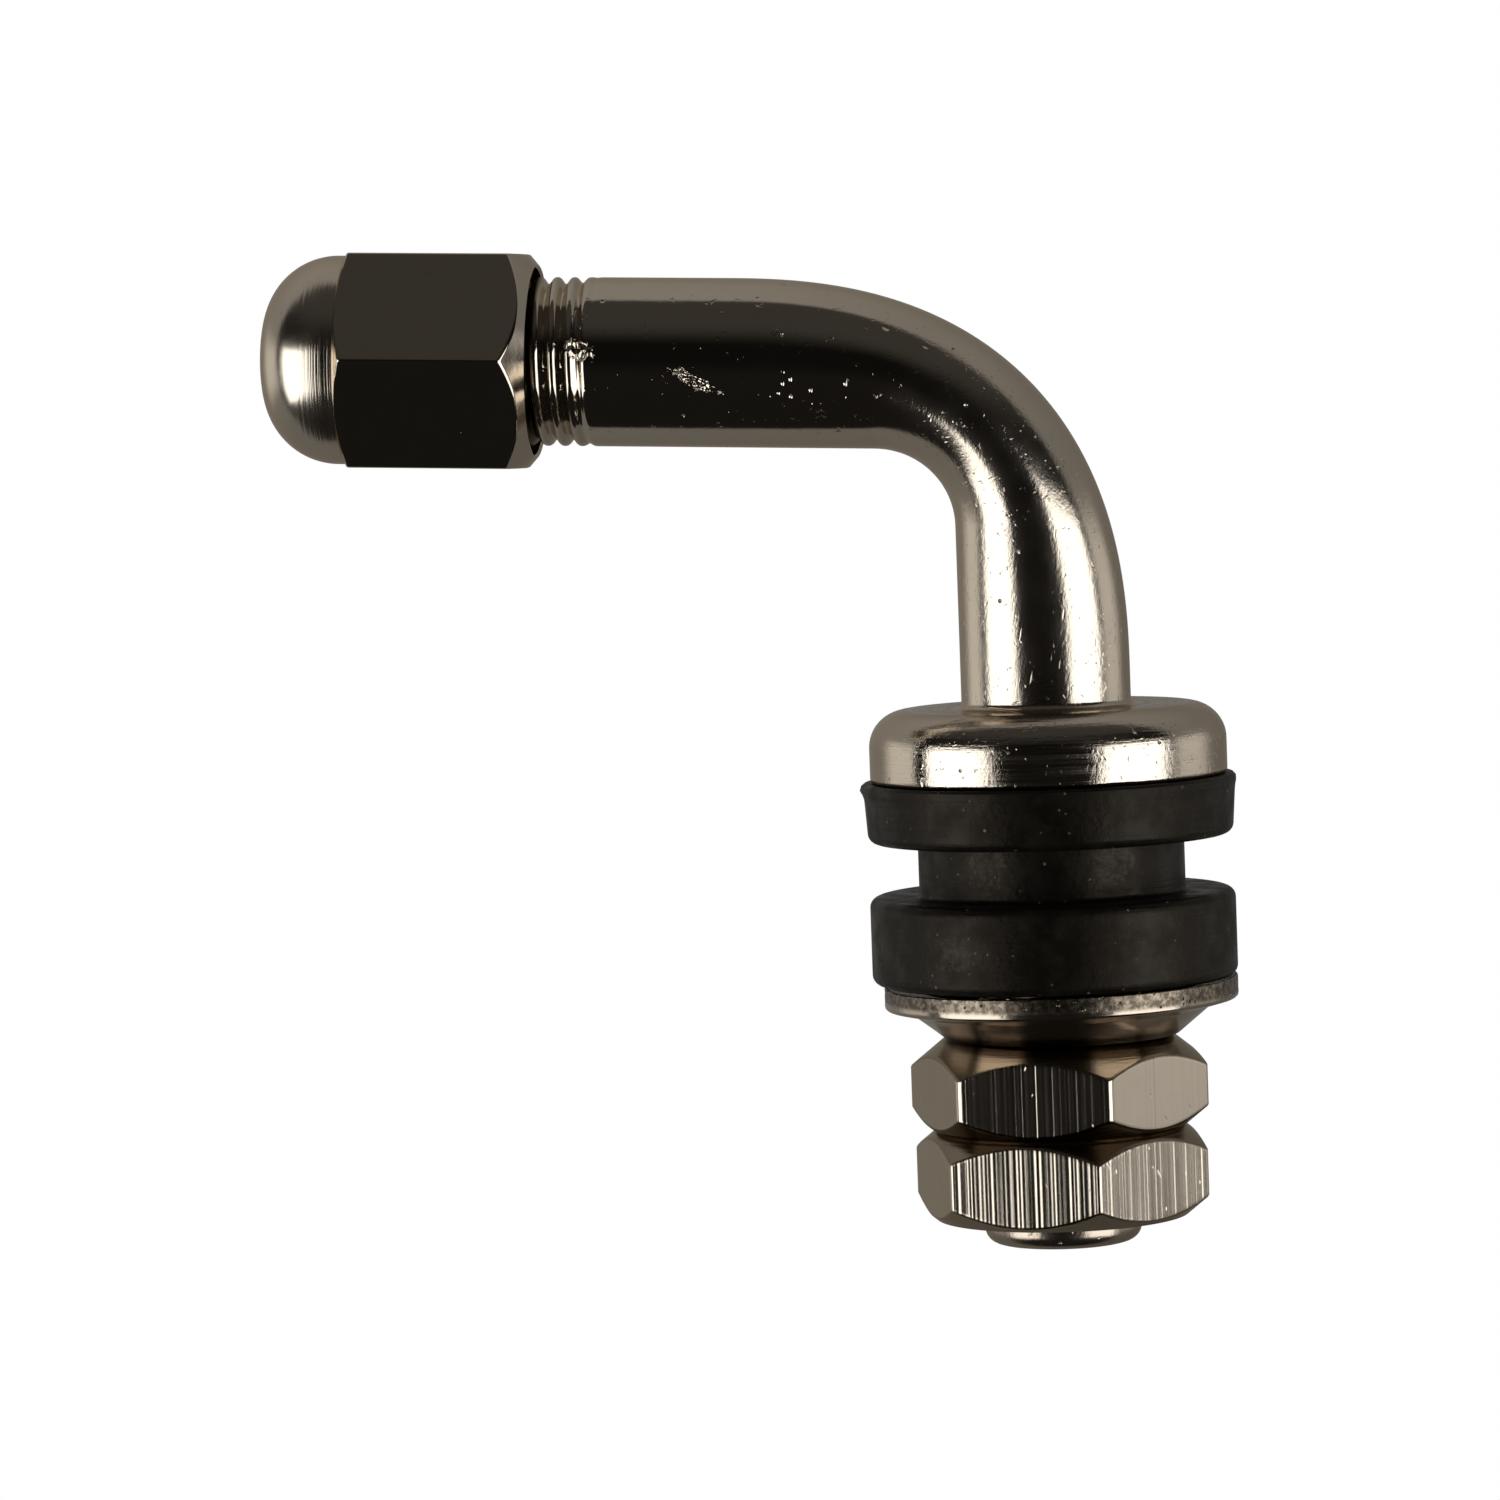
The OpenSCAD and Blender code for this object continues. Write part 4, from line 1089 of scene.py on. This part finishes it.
def wall_light():
    """Light of the wall: pale at both sides, dim behind and above the object, and dark in front."""
    paint = Paint("studio_wall", 0.0)
    x, y, z = (paint.times(axis, MM / WALL_RADIUS) for axis in paint.axes())
    back = paint.times(
        paint.ramp(z, *BACK_RISE_Z, WALL_BELOW, WALL_BEHIND),
        paint.ramp(x, *BACK_LEAN_X, BACK_LEFT, BACK_RIGHT))
    at_side = paint.times(paint.ramp(y, *SIDE_Y), paint.ramp(paint.calc("ABSOLUTE", z), *SIDE_Z))
    level = paint.total(back, paint.times(at_side, WALL_SIDE - WALL_BEHIND))
    depth = paint.calc("SUBTRACT", y, paint.ramp(z, *LOW_EDGE_Z, 0.0, LOW_EDGE_BACK))
    behind = paint.glow(PALE_WARM, paint.times(level, paint.ramp(depth, *BACK_EDGE_Y)))
    dark = paint.ramp(z, *FRONT_DARK_Z, WALL_DARK, WALL_DARKEST)
    front = paint.glow(WARM, paint.total(dark, paint.ramp(z, *ABOVE_Z, 0.0, WALL_ABOVE)))
    return paint.show(paint.node("ShaderNodeAddShader", {0: behind, 1: front}).outputs[0])


def make_wall():
    """Round studio wall, seen only in the object's reflections."""
    shape = bmesh.new()
    bmesh.ops.create_icosphere(shape, subdivisions=5, radius=WALL_RADIUS)
    mesh = bpy.data.meshes.new("studio_wall")
    shape.to_mesh(mesh)
    shape.free()
    mesh.materials.append(wall_light())
    wall = add_object("studio_wall", mesh)
    wall.location = STUDIO_CENTRE
    wall.visible_camera = False
    wall.visible_shadow = False


def seen_as_background(tree):
    """1 for rays that show the background: from the camera, or mirrored or let through by the object."""
    path = tree.nodes.new("ShaderNodeLightPath")
    seen = path.outputs["Is Camera Ray"]
    for kind in ("Is Glossy Ray", "Is Transmission Ray"):
        either = tree.nodes.new("ShaderNodeMath")
        either.operation = "MAXIMUM"
        tree.links.new(seen, either.inputs[0])
        tree.links.new(path.outputs[kind], either.inputs[1])
        seen = either.outputs["Value"]
    return seen


def make_floor():
    """Pale floor, far below the object, which is shown held in the air."""
    mesh = bpy.data.meshes.new("floor")
    corners = [(x * FLOOR_SIZE, y * FLOOR_SIZE, FLOOR_LEVEL) for x, y in ((-1, -1), (1, -1), (1, 1), (-1, 1))]
    mesh.from_pydata(corners, [], [[0, 1, 2, 3]])
    floor = add_object("floor", mesh)
    paint = Paint("floor", 0.0)
    cloud = paint.noise(paint.place(), 0.01)
    paint.done(paint.tint(cloud, FLOOR_DULL, FLOOR_LIGHT), paint.ramp(cloud, 0.0, 1.0, *FLOOR_ROUGHNESS))
    mix = {0: seen_as_background(paint.tree), 1: paint.shader.outputs["BSDF"], 2: paint.glow(WHITE, 1.0)}
    mesh.materials.append(paint.show(paint.node("ShaderNodeMixShader", mix).outputs[0]))


def make_world():
    """White background that lights the object less than it shows."""
    world = bpy.data.worlds.new("studio")
    bpy.context.scene.world = world
    world.use_nodes = True
    tree = world.node_tree
    back = next(node for node in tree.nodes if node.type == "BACKGROUND")
    back.inputs["Color"].default_value = (*WHITE, 1)
    strength = tree.nodes.new("ShaderNodeMapRange")
    strength.inputs["To Min"].default_value = WORLD_LIGHT
    tree.links.new(seen_as_background(tree), strength.inputs["Value"])
    tree.links.new(strength.outputs["Result"], back.inputs["Strength"])


# Build


def dress(piece, body, node, material):
    """A new piece in place of a CAD node."""
    piece.data.materials.append(material)
    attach(piece, body)
    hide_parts(node)
    return piece


def paint_nodes(nodes, material):
    """A better material on CAD nodes that keep their shape."""
    for node in nodes:
        mesh = NODES[node].data
        mesh.materials.clear()
        mesh.materials.append(material)


def build_outside():
    """The pieces that the photo shows."""
    dress(make_stem(), "stem", "stem", stem_plate())
    dress(make_cap(), "cap", "cap", cap_plate())
    dress(make_washer(), "cup_washer", "cup_washer", washer_plate())
    dress(make_grommet(), "stem", "grommet", black_rubber("grommet_rubber", 0.006))
    for nut in (CLAMP_NUT, LOCK_NUT):
        dress(make_nut(nut), nut.body, nut.body, nut_plate(nut))


def build_core():
    """The valve core and the cap's seal."""
    wire = plain_surface("spring_wire", 1.0, (0.5, 0.5, 0.52), (0.62, 0.62, 0.64), (0.2, 0.34), 4.0)
    spring = dress(make_spring(), "stem", "core_spring", wire)
    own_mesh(spring)
    brass = plain_surface("turned_brass", 1.0, (0.66, 0.47, 0.2), (0.78, 0.6, 0.3), (0.16, 0.3), 2.0)
    paint_nodes(("core_plug", "core_barrel", "core_pin", "pin_cup"), brass)
    paint_nodes(("cap_seal", "cup_seal"), black_rubber("seal_rubber", 0.02))
    gasket = plain_surface("gasket_rubber", 0.0, (0.42, 0.1, 0.07), (0.55, 0.16, 0.1), (0.4, 0.6), 2.0)
    paint_nodes(("barrel_gasket",), gasket)


build_outside()
build_core()
make_camera()
make_softbox("softbox_left", LEFT_SOFTBOX)
make_softbox("softbox_right", RIGHT_SOFTBOX)
make_wall()
make_floor()
make_world()
bpy.context.scene.view_settings.view_transform = "Standard"
